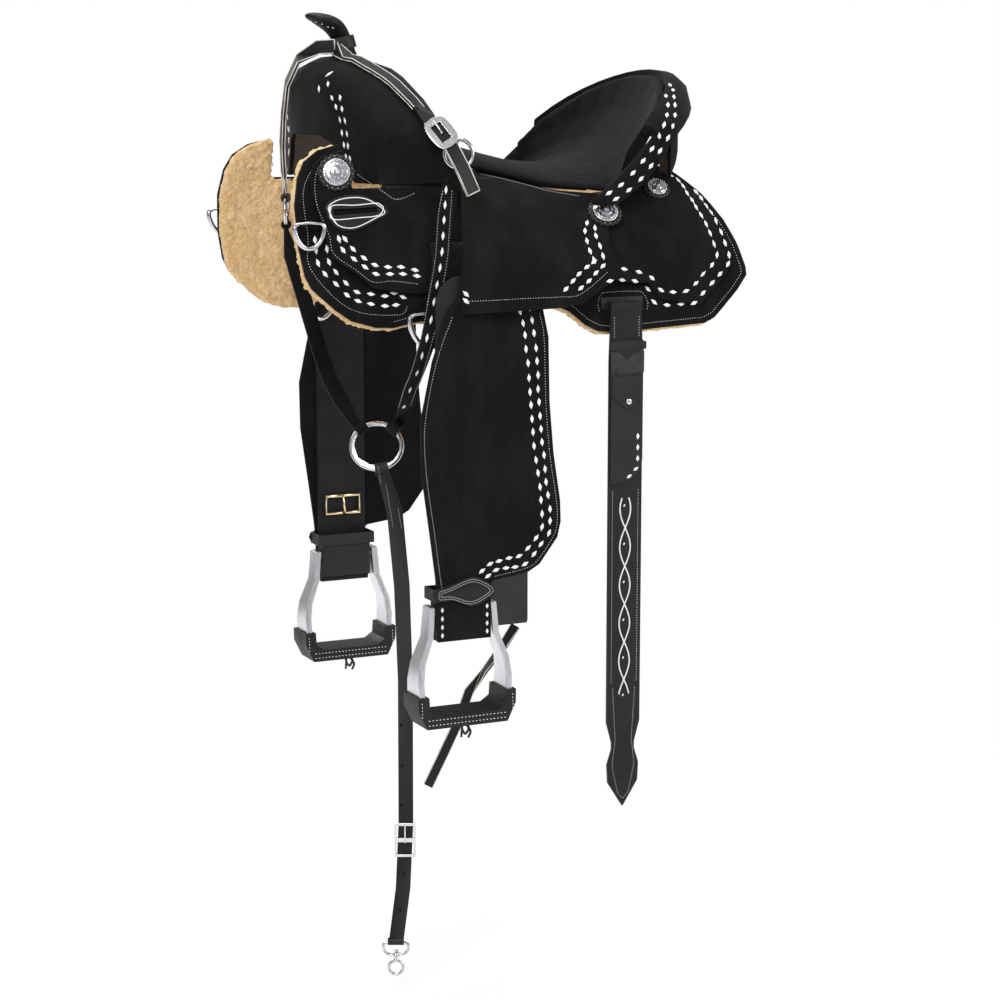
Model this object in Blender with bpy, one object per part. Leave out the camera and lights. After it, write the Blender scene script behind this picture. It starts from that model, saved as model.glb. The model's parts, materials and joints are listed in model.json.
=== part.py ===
"""A barrel racing saddle with its fenders, stirrups, rear billets, flank cinch and breast collar.

Metres. The saddle faces -X, its near (left) side is -Y and +Z is up.
The origin is the line where the rack or the horse's back meets the saddle, under the seat.
"""

import math

import bmesh
import bpy
from mathutils import Matrix, Vector

# Fits
GAP = 0.0007
FINE_GAP = 0.0003
CELL_X = 0.048
CELL_Z = 0.020

# The saddle's cross-section at its front, waist and back
SECTION_X = (-0.360, -0.020, 0.270)
SECTION_HALF_WIDTH = (0.150, 0.205, 0.205)
SECTION_DROP = (0.400, 0.258, 0.260)
SECTION_CREST = (0.200, 0.058, 0.100)
SECTION_POWER = (3.0, 2.5, 2.3)

# Layers, from the horse outwards
FLEECE_THICK = 0.012
FLEECE_EDGE = 0.004
SKIRT_THICK = 0.0045
BAR_THICK = 0.012
JOCKEY_THICK = 0.004
SKIRT_LIFT = FLEECE_THICK + GAP
ON_SKIRT = SKIRT_LIFT + SKIRT_THICK + GAP
ON_BAR = ON_SKIRT + BAR_THICK + GAP
ON_JOCKEY = ON_BAR + JOCKEY_THICK + GAP
SIDE_JOCKEY_FLARE = 0.0118

# Seat and cantle
SEAT_FRONT_X = -0.128
SEAT_SAMPLES = (-0.165, -0.120, -0.073, -0.016, 0.020, 0.085)
SEAT_CREST = (0.156, 0.131, 0.117, 0.101, 0.095, 0.092)
SEAT_EDGE_Z = (0.098, 0.095, 0.088, 0.071, 0.064, 0.058)
SEAT_PAD_THICK = 0.014
SEAT_PAD_EDGE = 0.005
GROUND_SEAT_THICK = 0.007
GROUND_SEAT_INSET = 0.058
CANTLE_X = 0.080
CANTLE_DEPTH = 0.145
CANTLE_HALF_WIDTH = 0.172
CANTLE_END_Z = 0.064
CANTLE_RISE = 0.155
CANTLE_THICK = 0.012
CANTLE_SPAN = math.radians(80)
BOARD_TOP = 0.0128
CANTLE_BACK_TOP = 0.0156
CANTLE_BACK_THICK = 0.004

# Fork and horn
FORK_SAMPLES = (0.0, 0.05, 0.10, 0.14, 0.156, 0.166)
FORK_FRONT = (-0.283, -0.280, -0.266, -0.254, -0.250, -0.246)
FORK_REAR = (-0.157, -0.149, -0.140, -0.138, -0.141, -0.146)
FORK_TOP = (0.236, 0.228, 0.202, 0.172, 0.155, 0.138)
FORK_ROUND = (0.050, 0.052, 0.060, 0.056, 0.050, 0.044)
FORK_LEAN = 0.30
FORK_FOOT_Z = 0.078
GULLET_ROOF_Z = 0.137
FORK_COVER_THICK = 0.004
HORN_BASE = Vector((-0.224, 0.0, 0.228))
HORN_TOP = Vector((-0.250, 0.0, 0.286))
HORN_NECK_R = 0.0095
HORN_CAP_R = 0.026
HORN_CAP_THICK = 0.006
HORN_CAP_TILT = math.radians(-10)
HORN_WRAP = 0.005

# Fender and stirrup leather, shared by both sides
STIRRUP_X = -0.156
STIRRUP_BAR_Z = -0.479
SWING_X = -0.1457
SWING_Z = -0.075
FENDER_Y = 0.2200
FENDER_THICK = 0.0045
STIRRUP_STRAP_WIDTH = 0.074
STIRRUP_STRAP_THICK = 0.005
SLEEVE_BOTTOM_Z = STIRRUP_BAR_Z - 0.039
SLEEVE_TOP_Z = STIRRUP_BAR_Z + 0.027
SLEEVE_THICK = 0.023
HOBBLE_THICK = 0.003
HOBBLE_BAND = 0.016
HOBBLE_Z = STIRRUP_BAR_Z + 0.024

# Stirrup
STIRRUP_BAR_R = 0.006
STIRRUP_SIDE_THICK = 0.009
STIRRUP_DROP = 0.140
STIRRUP_FLOOR_THICK = 0.009
STIRRUP_TOP_DEPTH = 0.022
STIRRUP_FLOOR_DEPTH = 0.046
TREAD_COVER = 0.0035
TREAD_RISE = 0.030

# Rear billets and flank cinch
BILLET_X = 0.081
BILLET_WIDTH = 0.050
BILLET_THICK = 0.0045
BILLET_HINGE_Z = -0.084
BILLET_END_Z = -0.775
FAR_BILLET_END_Z = -0.430
BILLET_HOLE_R = 0.0024
BILLET_HOLE_PITCH = 0.0525
BILLET_FIRST_HOLE_Z = -0.356
BILLET_HOLES = 6
SLOT_HALF = (0.032, 0.009)

# Breast collar
STRAP_THICK = 0.004
RING_WIRE_R = 0.0035
EYE_WALL = 0.0033
LOOSE_EYE = 0.0010

SIDES = {"near": -1, "far": 1}

for old in list(bpy.data.objects):
    bpy.data.objects.remove(old)

PARTS = bpy.data.collections.new("barrel_racing_saddle")
CUTTERS = bpy.data.collections.new("cutters")
for group in (PARTS, CUTTERS):
    bpy.context.scene.collection.children.link(group)


def material(name, colour, roughness, metallic=0.0):
    made = bpy.data.materials.new(name)
    made.use_nodes = True
    shader = made.node_tree.nodes["Principled BSDF"]
    shader.inputs["Base Color"].default_value = (*colour, 1.0)
    shader.inputs["Roughness"].default_value = roughness
    shader.inputs["Metallic"].default_value = metallic
    return made


FINISHES = {
    "suede": ((0.012, 0.011, 0.012), 0.95, 0.0),
    "smooth_leather": ((0.018, 0.018, 0.020), 0.40, 0.0),
    "flesh_leather": ((0.060, 0.055, 0.052), 0.80, 0.0),
    "sheepskin": ((0.780, 0.560, 0.330), 1.00, 0.0),
    "tree_wood": ((0.420, 0.300, 0.180), 0.70, 0.0),
    "ground_seat_leather": ((0.260, 0.150, 0.080), 0.75, 0.0),
    "aluminium": ((0.780, 0.780, 0.790), 0.35, 1.0),
    "nickel": ((0.820, 0.820, 0.830), 0.18, 1.0),
}


def add_object(name, mesh, finish):
    """Names the mesh's object after its node and gives it a material of its own."""
    made = bpy.data.objects.new(name, mesh)
    PARTS.objects.link(made)
    mesh.materials.clear()
    mesh.materials.append(material(name, *FINISHES[finish]))
    return made


def mesh_from(bm, name):
    """Closes the bmesh with its faces pointing out, as plain mesh data."""
    bmesh.ops.remove_doubles(bm, verts=bm.verts, dist=1e-6)
    bmesh.ops.recalc_face_normals(bm, faces=bm.faces)
    mesh = bpy.data.meshes.new(name)
    bm.to_mesh(mesh)
    bm.free()
    if bm_volume(mesh) < 0:
        mesh.flip_normals()
    mesh.set_sharp_from_angle(angle=math.radians(40))
    return mesh


def bm_volume(mesh):
    bm = bmesh.new()
    bm.from_mesh(mesh)
    volume = bm.calc_volume(signed=True)
    bm.free()
    return volume


def interpolate(x, xs, values):
    """Straight lines between samples, level beyond the ends."""
    if x <= xs[0]:
        return values[0]
    for i in range(len(xs) - 1):
        if x <= xs[i + 1]:
            share = (x - xs[i]) / (xs[i + 1] - xs[i])
            return values[i] + (values[i + 1] - values[i]) * share
    return values[-1]


def ease(t):
    t = min(max(t, 0.0), 1.0)
    return t * t * (3 - 2 * t)


def eased(x, xs, values):
    """Smooth steps between samples, level beyond the ends."""
    for i in range(len(xs) - 1):
        if x <= xs[i + 1] or i == len(xs) - 2:
            share = ease((x - xs[i]) / (xs[i + 1] - xs[i]))
            return values[i] + (values[i + 1] - values[i]) * share
    return values[-1]


def section(x, lift):
    """Half width, drop, crest height and power of the cross-section that lies lift above the horse."""
    return (
        eased(x, SECTION_X, SECTION_HALF_WIDTH) + lift,
        eased(x, SECTION_X, SECTION_DROP) + lift,
        eased(x, SECTION_X, SECTION_CREST) + lift,
        eased(x, SECTION_X, SECTION_POWER),
    )


def half_width(x, z, lift):
    """How far from the middle the surface stands at the height z."""
    wide, drop, crest, power = section(x, lift)
    c = min(max(1 - (crest - z) / drop, 0.0), 1.0)
    return wide * (1 - c**power) ** (1 / power)


def crest_height(x, y, lift):
    """How high the surface stands at the distance y from the middle."""
    wide, drop, crest, power = section(x, lift)
    s = min(abs(y) / wide, 1.0)
    return crest - drop * (1 - (1 - s**power) ** (1 / power))


def arc(centre, radius, start, end, steps):
    """Points of a round stretch, with the angles in degrees."""
    return [
        (
            centre[0] + radius * math.cos(math.radians(start + (end - start) * i / steps)),
            centre[1] + radius * math.sin(math.radians(start + (end - start) * i / steps)),
        )
        for i in range(steps + 1)
    ]


def smooth_outline(points, steps=3):
    """A closed smooth curve through the points."""
    made = []
    n = len(points)
    for i in range(n):
        a, b, c, d = (Vector(points[(i + k - 1) % n]) for k in range(4))
        for k in range(steps):
            t = k / steps
            made.append(
                tuple(
                    0.5
                    * (
                        2 * b
                        + (c - a) * t
                        + (2 * a - 5 * b + 4 * c - d) * t * t
                        + (3 * b - a - 3 * c + d) * t**3
                    )
                )
            )
    return made


def flat_piece(outlines, thickness):
    """A flat sheet cut to the first outline, with the others as holes, as a bmesh in its own plane."""
    curve = bpy.data.curves.new("outline", "CURVE")
    curve.dimensions = "2D"
    curve.fill_mode = "BOTH"
    curve.extrude = thickness / 2
    for outline in outlines:
        spline = curve.splines.new("POLY")
        spline.points.add(len(outline) - 1)
        for point, (u, v) in zip(spline.points, outline):
            point.co = (u, v, 0, 1)
        spline.use_cyclic_u = True
    holder = bpy.data.objects.new("outline", curve)
    bpy.context.scene.collection.objects.link(holder)
    graph = bpy.context.evaluated_depsgraph_get()
    mesh = bpy.data.meshes.new_from_object(holder.evaluated_get(graph))
    bpy.data.objects.remove(holder)
    bm = bmesh.new()
    bm.from_mesh(mesh)
    bpy.data.meshes.remove(mesh)
    bmesh.ops.remove_doubles(bm, verts=bm.verts, dist=1e-6)
    return bm


GRID_LINES = (
    Vector((1 / CELL_X, 0, 0)),
    Vector((0, 1 / CELL_Z, 0)),
    Vector((-1 / CELL_X, 1 / CELL_Z, 0)),
)


def slice_on_grid(bm):
    """Cuts the flat sheet on a fixed triangle grid, so that layers over each other bend alike."""
    for line in GRID_LINES:
        reach = [line.dot(v.co) for v in bm.verts]
        for k in range(math.ceil(min(reach) + 1e-4), math.ceil(max(reach) - 1e-4)):
            bmesh.ops.bisect_plane(
                bm,
                geom=bm.verts[:] + bm.edges[:] + bm.faces[:],
                plane_co=line * (k / line.length_squared),
                plane_no=line,
                dist=1e-6,
            )

    def on_grid(edge):
        for line in GRID_LINES:
            a, b = (line.dot(v.co) for v in edge.verts)
            if abs(a - b) < 1e-4 and abs(a - round(a)) < 1e-4:
                return True
        return False

    loose = [
        e for e in bm.edges
        if len(e.link_faces) == 2
        and e.link_faces[0].normal.dot(e.link_faces[1].normal) > 0.999
        and abs(e.link_faces[0].normal.z) > 0.9
        and not on_grid(e)
    ]
    bmesh.ops.dissolve_edges(bm, edges=loose, use_verts=True)


def grid_half_width(x, z, depth, lift_at):
    """half_width for a layer, flat between the grid's corners."""
    i, j = math.floor(x / CELL_X), math.floor(z / CELL_Z)
    s, t = x / CELL_X - i, z / CELL_Z - j
    corners = [(i, j, 1 - max(s, t)), (i + 1, j + 1, min(s, t))]
    corners.append((i + 1, j, s - t) if s > t else (i, j + 1, t - s))
    total = 0.0
    for a, b, share in corners:
        u, w = a * CELL_X, b * CELL_Z
        total += share * half_width(u, w, lift_at(u, w) + depth)
    return total


def drape(name, finish, outlines, thickness, lift_at, side):
    """A leather sheet cut to side-view outlines (x, z) and laid over the saddle's side.

    lift_at(x, z) is the height of the sheet's lower face above the horse.
    """
    bm = flat_piece(outlines, thickness)
    bm.normal_update()
    slice_on_grid(bm)
    bmesh.ops.triangulate(bm, faces=bm.faces[:])
    for v in bm.verts:
        x, z, depth = v.co
        v.co = (x, side * grid_half_width(x, z, depth + thickness / 2, lift_at), z)
    return add_object(name, mesh_from(bm, name), finish)


def plate(name, finish, outlines, y_inner, thickness, side):
    """A flat upright piece with side-view outlines (x, z) and its inner face y_inner from the middle."""
    bm = flat_piece(outlines, thickness)
    for v in bm.verts:
        x, z, depth = v.co
        v.co = (x, side * (y_inner + thickness / 2 + depth), z)
    return add_object(name, mesh_from(bm, name), finish)


def loft(name, finish, rings, closed=False):
    """A skin over rings of the same number of points, capped at both ends or closed on itself."""
    bm = bmesh.new()
    rows = [[bm.verts.new(p) for p in ring] for ring in rings]
    count = len(rows[0])
    pairs = list(zip(rows, rows[1:]))
    if closed:
        pairs.append((rows[-1], rows[0]))
    for a, b in pairs:
        for i in range(count):
            j = (i + 1) % count
            bm.faces.new((a[i], a[j], b[j], b[i]))
    if not closed:
        bm.faces.new(rows[0])
        bm.faces.new(rows[-1])
    bmesh.ops.triangulate(bm, faces=bm.faces[:])
    return add_object(name, mesh_from(bm, name), finish)


def tube(name, finish, points, radius, cyclic=False, sides=2):
    """Round wire along the points."""
    curve = bpy.data.curves.new(name, "CURVE")
    curve.dimensions = "3D"
    curve.bevel_depth = radius
    curve.bevel_resolution = sides
    curve.use_fill_caps = True
    spline = curve.splines.new("POLY")
    spline.points.add(len(points) - 1)
    for point, co in zip(spline.points, points):
        point.co = (*co, 1)
    spline.use_cyclic_u = cyclic
    holder = bpy.data.objects.new(name + "_curve", curve)
    bpy.context.scene.collection.objects.link(holder)
    graph = bpy.context.evaluated_depsgraph_get()
    mesh = bpy.data.meshes.new_from_object(holder.evaluated_get(graph))
    bpy.data.objects.remove(holder)
    bm = bmesh.new()
    bm.from_mesh(mesh)
    bpy.data.meshes.remove(mesh)
    return add_object(name, mesh_from(bm, name), finish)


def ribbon(name, finish, path, widths, thickness, across_at):
    """A strap along a path. across_at(i) is the direction of its width at each point."""
    rings = []
    for i, point in enumerate(path):
        p = Vector(point)
        before = Vector(path[max(i - 1, 0)])
        after = Vector(path[min(i + 1, len(path) - 1)])
        along = (after - before).normalized()
        across = Vector(across_at(i))
        across = (across - along * across.dot(along)).normalized()
        up = along.cross(across)
        half = across * (widths[i] / 2)
        rise = up * (thickness / 2)
        rings.append([p - half - rise, p + half - rise, p + half + rise, p - half + rise])
    return loft(name, finish, rings)


def cutter(mesh):
    """Puts a cutting body in the cutters' collection."""
    made = bpy.data.objects.new("cutter", mesh)
    CUTTERS.objects.link(made)
    made.hide_render = True
    made.display_type = "WIRE"
    return made


def boolean(obj, other, operation):
    """Applies one exact Boolean and removes the other object."""
    step = obj.modifiers.new("cut", "BOOLEAN")
    step.operation = operation
    step.object = other
    step.solver = "EXACT"
    step.use_self = True
    graph = bpy.context.evaluated_depsgraph_get()
    mesh = bpy.data.meshes.new_from_object(obj.evaluated_get(graph))
    obj.modifiers.remove(step)
    kept = obj.data.materials[0]
    obj.data = mesh
    mesh.materials.clear()
    mesh.materials.append(kept)
    bpy.data.objects.remove(other)


def cylinder_mesh(start, end, radius, sides=16):
    start, end = Vector(start), Vector(end)
    bm = bmesh.new()
    bmesh.ops.create_cone(
        bm,
        cap_ends=True,
        segments=sides,
        radius1=radius,
        radius2=radius,
        depth=(end - start).length,
    )
    turn = (end - start).to_track_quat("Z", "Y").to_matrix().to_4x4()
    bm.transform(Matrix.Translation((start + end) / 2) @ turn)
    return mesh_from(bm, "cylinder")


# Lift of each draped layer at (x, z)
def skirt_lift(x, z):
    return SKIRT_LIFT


def fleece_lift(x, z):
    return 0.0


def bar_lift(x, z):
    return ON_SKIRT


def jockey_lift(x, z):
    """Front and rear jockeys ride over the bar and come down on the skirt around it."""
    over = ease((x + 0.336) / 0.048) * ease((0.240 - x) / 0.048) * ease((z + 0.070) / 0.035)
    return ON_SKIRT + (ON_BAR - ON_SKIRT) * over


def side_jockey_lift(x, z):
    """The side jockey stands off the fender at its lower edge."""
    return ON_JOCKEY + SIDE_JOCKEY_FLARE * ease((0.045 - z) / 0.085)


def on_jockey_lift(x, z):
    return jockey_lift(x, z) + JOCKEY_THICK


def on_side_jockey_lift(x, z):
    return side_jockey_lift(x, z) + JOCKEY_THICK


def seat_edge(x):
    z = interpolate(x, SEAT_SAMPLES, SEAT_EDGE_Z)
    return half_width(x, z, ON_JOCKEY + JOCKEY_THICK), z


SKIRT_OUTLINE = [
    (-0.290, 0.128), (-0.320, 0.121), (-0.341, 0.107), (-0.352, 0.087), (-0.359, 0.052),
    (-0.357, 0.000), (-0.350, -0.037), (-0.341, -0.054), (-0.310, -0.082), (-0.290, -0.096),
    (-0.260, -0.105), (-0.236, -0.106), (-0.212, -0.100), (-0.186, -0.096), (-0.110, -0.084),
    (-0.020, -0.083), (0.003, -0.092), (0.024, -0.110), (0.042, -0.119), (0.067, -0.122),
    (0.124, -0.119), (0.202, -0.115), (0.218, -0.108), (0.256, -0.072), (0.272, -0.053),
    (0.272, -0.042), (0.264, -0.010), (0.252, 0.020), (0.232, 0.055), (0.208, 0.084),
    (0.194, 0.092), (0.168, 0.088), (0.120, 0.062), (0.040, 0.042), (-0.100, 0.050),
    (-0.150, 0.070), (-0.286, 0.072),
]
FRONT_JOCKEY_OUTLINE = [
    (-0.292, 0.121), (-0.316, 0.116), (-0.331, 0.103), (-0.338, 0.086), (-0.333, 0.060),
    (-0.322, 0.010), (-0.315, -0.014), (-0.286, -0.035), (-0.263, -0.053), (-0.235, -0.060),
    (-0.190, -0.062), (-0.120, -0.066), (-0.116, 0.050), (-0.135, 0.066), (-0.160, 0.0735),
    (-0.287, 0.0735),
]
SIDE_JOCKEY_LOWER = [
    (0.092, 0.046), (0.066, 0.020), (0.058, -0.008), (0.068, -0.040), (0.044, -0.056),
    (0.006, -0.078), (-0.024, -0.083), (-0.090, -0.085), (-0.160, -0.087), (-0.158, -0.040),
    (-0.151, 0.000), (-0.140, 0.050),
]
REAR_JOCKEY_OUTLINE = [
    (0.020, -0.036), (0.050, -0.048), (0.085, -0.056), (0.118, -0.058), (0.136, -0.080),
    (0.194, -0.090), (0.230, -0.058), (0.252, -0.036), (0.250, -0.012), (0.237, 0.020),
    (0.218, 0.052), (0.198, 0.080), (0.182, 0.083), (0.130, 0.062), (0.080, 0.036),
    (0.030, 0.012),
]
BAR_OUTLINE = [
    (-0.240, FORK_FOOT_Z - GAP), (-0.130, FORK_FOOT_Z - GAP), (-0.073, 0.070), (-0.016, 0.056),
    (0.050, 0.046), (0.110, 0.056), (0.160, 0.070), (0.185, 0.066), (0.180, 0.020),
    (0.150, -0.010), (0.050, -0.0235), (-0.100, -0.0235), (-0.190, -0.0235), (-0.236, 0.000),
]
FENDER_OUTLINE = [
    (-0.176, -0.082), (-0.162, -0.068), (-0.140, -0.064), (-0.070, -0.064), (-0.048, -0.070),
    (-0.043, -0.082), (-0.034, -0.122), (-0.032, -0.209), (-0.026, STIRRUP_BAR_Z + 0.202),
    (-0.016, STIRRUP_BAR_Z + 0.138), (-0.015, STIRRUP_BAR_Z + 0.109),
    (-0.020, STIRRUP_BAR_Z + 0.088), (-0.046, STIRRUP_BAR_Z + 0.054),
    (-0.064, STIRRUP_BAR_Z + 0.044), (-0.114, STIRRUP_BAR_Z + 0.0375),
    (-0.1175, STIRRUP_BAR_Z + 0.033), (-0.1175, SLEEVE_BOTTOM_Z), (-0.1945, SLEEVE_BOTTOM_Z),
    (-0.1945, STIRRUP_BAR_Z + 0.019), (-0.197, STIRRUP_BAR_Z + 0.048),
    (-0.205, STIRRUP_BAR_Z + 0.108), (-0.216, STIRRUP_BAR_Z + 0.187), (-0.217, -0.225),
    (-0.200, -0.147),
]


def build_skirts(tag, side):
    """Sheepskin, skirt and tree bar of one side."""
    fleece = [(x, z - FLEECE_EDGE if z < 0 else z) for x, z in SKIRT_OUTLINE]
    drape(f"sheepskin_{tag}", "sheepskin", [fleece], FLEECE_THICK, fleece_lift, side)
    half_x, half_z = SLOT_HALF
    slot = [
        (BILLET_X + half_x * sx, BILLET_HINGE_Z + half_z * sz)
        for sx, sz in ((-1, -1), (1, -1), (1, 1), (-1, 1))
    ]
    outlines = [SKIRT_OUTLINE, slot]
    drape(f"skirt_{tag}", "suede", outlines, SKIRT_THICK, skirt_lift, side)
    drape(f"tree_bar_{tag}", "tree_wood", [BAR_OUTLINE], BAR_THICK, bar_lift, side)


def build_jockeys(tag, side):
    """The three overlapping leathers on one side."""
    drape(
        f"front_jockey_{tag}", "suede", [FRONT_JOCKEY_OUTLINE], JOCKEY_THICK, jockey_lift, side
    )
    drape(f"rear_jockey_{tag}", "suede", [REAR_JOCKEY_OUTLINE], JOCKEY_THICK, jockey_lift, side)
    top = [
        (x, interpolate(x, SEAT_SAMPLES, SEAT_EDGE_Z) - GAP)
        for x in (-0.128, -0.120, -0.073, -0.016, 0.020, 0.070)
    ]
    drape(
        f"side_jockey_{tag}",
        "suede",
        [SIDE_JOCKEY_LOWER + top],
        JOCKEY_THICK,
        side_jockey_lift,
        side,
    )


def rim_point(angle):
    """The cantle's front edge, at an angle from straight back."""
    c = math.cos(angle)
    return Vector(
        (
            CANTLE_X + CANTLE_DEPTH * c,
            CANTLE_HALF_WIDTH * math.sin(angle),
            CANTLE_END_Z + CANTLE_RISE * max(c, 0.0) ** 0.6,
        )
    )


def seat_point(row, angle):
    """The seat's top: rows below 0 run forward from the cantle's ends, rows up to 1 climb the dish."""
    s = math.sin(angle) / math.sin(CANTLE_SPAN)
    if row <= 0:
        x = CANTLE_X + row * (CANTLE_X - SEAT_FRONT_X)
        wide, edge = seat_edge(x)
        wide = wide + (CANTLE_HALF_WIDTH * math.sin(CANTLE_SPAN) - wide) * ease(1 + 4 * row)
        crest = interpolate(x, SEAT_SAMPLES, SEAT_CREST)
        edge += SEAT_PAD_EDGE + GAP
        return Vector((x, wide * s, crest - (crest - edge) * abs(s) ** 2.2))
    base = seat_point(0, angle)
    rim = rim_point(angle)
    x = CANTLE_X + CANTLE_DEPTH * row * math.cos(angle)
    return Vector((x, base.y, base.z + (rim.z - base.z) * row**2.4))


def seat_normal(row, angle):
    d = 0.01
    along = seat_point(min(row + d, 1), angle) - seat_point(max(row - d, -1), angle)
    across = seat_point(row, angle + d) - seat_point(row, angle - d)
    return along.cross(across).normalized()


SEAT_ROWS = (-1, -0.8, -0.6, -0.4, -0.2, 0, 0.2, 0.4, 0.6, 0.8, 1.0)
SEAT_COLUMNS = 12


def slab_between(name, finish, top, bottom):
    """A closed slab from two grids of points with the same rows and columns."""
    rows, columns = len(top), len(top[0])
    bm = bmesh.new()
    upper = [[bm.verts.new(p) for p in row] for row in top]
    lower = [[bm.verts.new(p) for p in row] for row in bottom]
    for i in range(rows - 1):
        for j in range(columns - 1):
            bm.faces.new((upper[i][j], upper[i][j + 1], upper[i + 1][j + 1], upper[i + 1][j]))
            bm.faces.new((lower[i][j], lower[i + 1][j], lower[i + 1][j + 1], lower[i][j + 1]))
    for i in range(rows - 1):
        for j in (0, columns - 1):
            bm.faces.new((upper[i][j], upper[i + 1][j], lower[i + 1][j], lower[i][j]))
    for j in range(columns - 1):
        for i in (0, rows - 1):
            bm.faces.new((upper[i][j], lower[i][j], lower[i][j + 1], upper[i][j + 1]))
    bmesh.ops.triangulate(bm, faces=bm.faces[:])
    return add_object(name, mesh_from(bm, name), finish)


def pad_depth(row, angle):
    """How thick the seat pad is, full in the middle and thin along its edges."""
    s = abs(math.sin(angle) / math.sin(CANTLE_SPAN))
    inside = ease((1 - s) / 0.35) * ease((1 - abs(row)) / 0.25)
    return SEAT_PAD_EDGE + (SEAT_PAD_THICK - SEAT_PAD_EDGE) * inside


def build_seat():
    """The padded seat that climbs the cantle, and the ground seat under it."""
    angles = [CANTLE_SPAN * (2 * j / SEAT_COLUMNS - 1) for j in range(SEAT_COLUMNS + 1)]
    top, bottom, ground_top, ground_bottom = [], [], [], []
    shrink = 1 - GROUND_SEAT_INSET / CANTLE_HALF_WIDTH
    for row in SEAT_ROWS:
        top.append([seat_point(row, a) for a in angles])
        bottom.append([p - seat_normal(row, a) * pad_depth(row, a) for p, a in zip(top[-1], angles)])
        if -0.85 < row <= 0:
            upper, lower = [], []
            for angle in angles:
                inner = math.asin(math.sin(angle) * shrink)
                p, n = seat_point(row, inner), seat_normal(row, inner)
                depth = pad_depth(row, inner) + GAP
                upper.append(p - n * depth)
                lower.append(p - n * (depth + GROUND_SEAT_THICK))
            ground_top.append(upper)
            ground_bottom.append(lower)
    slab_between("seat_pad", "suede", top, bottom)
    slab_between("ground_seat", "ground_seat_leather", ground_top, ground_bottom)


def outward(angle):
    """Level direction from the cantle's middle out through its rim."""
    away = Vector((math.cos(angle) / CANTLE_DEPTH, math.sin(angle) / CANTLE_HALF_WIDTH, 0))
    return away.normalized()


def cantle_foot(p):
    """Height of the leather under a point of the cantle."""
    return crest_height(p.x, p.y, ON_JOCKEY) + FINE_GAP


def build_cantle():
    """The cantle board, the leather on its back and the roll along its top edge."""
    step, board_steps, roll_steps = math.radians(8.7), 6, 8
    board_front = SEAT_PAD_EDGE + 2 * GAP
    board_back = board_front + CANTLE_THICK
    skin_front = board_back + GAP
    skin_back = skin_front + CANTLE_BACK_THICK
    board, back, roll = [], [], []
    for k in range(-roll_steps, roll_steps + 1):
        rim, out = rim_point(step * k), outward(step * k)

        def slab(front, rear, down):
            corners = []
            for reach in (front, rear):
                foot = rim + out * reach
                foot.z = cantle_foot(foot)
                corners.append((foot, max(rim.z - down, foot.z + 0.006)))
            (f, fz), (r, rz) = corners
            level = max(fz, rz)
            return [f, Vector((f.x, f.y, level)), Vector((r.x, r.y, level)), r]

        if abs(k) <= board_steps:
            board.append(slab(board_front, board_back, BOARD_TOP))
            back.append(slab(skin_front, skin_back, CANTLE_BACK_TOP))
        shape = (
            (board_front - GAP, -0.010), (0.018, -0.012), (0.027, -0.017), (0.036, -0.036),
            (0.041, -0.033), (0.035, -0.010), (0.022, 0.001), (board_front, 0.003),
        )
        roll.append([rim + out * o + Vector((0, 0, h)) for o, h in shape])
    loft("tree_cantle", "tree_wood", board)
    loft("cantle_back", "suede", back)
    loft("cantle_roll", "suede", roll)


FORK_STATIONS = (0.166, 0.156, 0.140, 0.120, 0.100, 0.075, 0.050, 0.025)


def gullet_height(y):
    """The underside of the fork: an arch that comes down onto the bars."""
    return GULLET_ROOF_Z - (GULLET_ROOF_Z - FORK_FOOT_Z) * ease((abs(y) - 0.060) / 0.060)


def fork_rings(grow, foot_drop, steps=10):
    """Lengthwise sections through the fork, from one swell to the other."""
    ys = [-y for y in FORK_STATIONS] + [0.0] + list(reversed(FORK_STATIONS))
    stretch = 1 + grow / FORK_STATIONS[0]
    rings = []
    for y in ys:
        wide = abs(y)
        front = interpolate(wide, FORK_SAMPLES, FORK_FRONT) - grow
        rear = interpolate(wide, FORK_SAMPLES, FORK_REAR) + grow
        top = interpolate(wide, FORK_SAMPLES, FORK_TOP) + grow
        rise = interpolate(wide, FORK_SAMPLES, FORK_ROUND) + grow
        middle, half = (front + rear) / 2, (rear - front) / 2
        ring = []
        for k in range(steps + 1):
            t = math.pi * k / steps
            c, s = math.cos(t), math.sin(t)
            lift = rise * s**0.8
            x = middle + half * math.copysign(abs(c) ** 0.8, c) - FORK_LEAN * lift
            ring.append(Vector((x, y * stretch, top - rise + lift)))
        foot = gullet_height(y) - foot_drop
        ring.append(Vector((front, y * stretch, foot)))
        ring.append(Vector((rear, y * stretch, foot)))
        rings.append(ring)
    return rings


def fork_height(x, y, grow):
    """Height of the fork's top at a point, measured on the section through it."""
    fractions = [k / 40 for k in range(4, 37)]
    wide = abs(y) / (1 + grow / FORK_STATIONS[0])
    front = interpolate(wide, FORK_SAMPLES, FORK_FRONT) - grow
    rear = interpolate(wide, FORK_SAMPLES, FORK_REAR) + grow
    top = interpolate(wide, FORK_SAMPLES, FORK_TOP) + grow
    rise = interpolate(wide, FORK_SAMPLES, FORK_ROUND) + grow
    xs, zs = [], []
    for share in reversed(fractions):
        c, s = math.cos(math.pi * share), math.sin(math.pi * share)
        lift = rise * s**0.8
        half = (rear - front) / 2
        xs.append((front + rear) / 2 + half * math.copysign(abs(c) ** 0.8, c) - FORK_LEAN * lift)
        zs.append(top - rise + lift)
    return interpolate(x, xs, zs)


def build_fork():
    """The fork of the tree and the suede cover over its top and swells."""
    loft("tree_fork", "tree_wood", fork_rings(0, 0))
    cover = loft("fork_cover", "suede", fork_rings(GAP + FORK_COVER_THICK, 0))
    boolean(cover, loft("inside", "suede", fork_rings(GAP, 0.020)), "DIFFERENCE")


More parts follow.
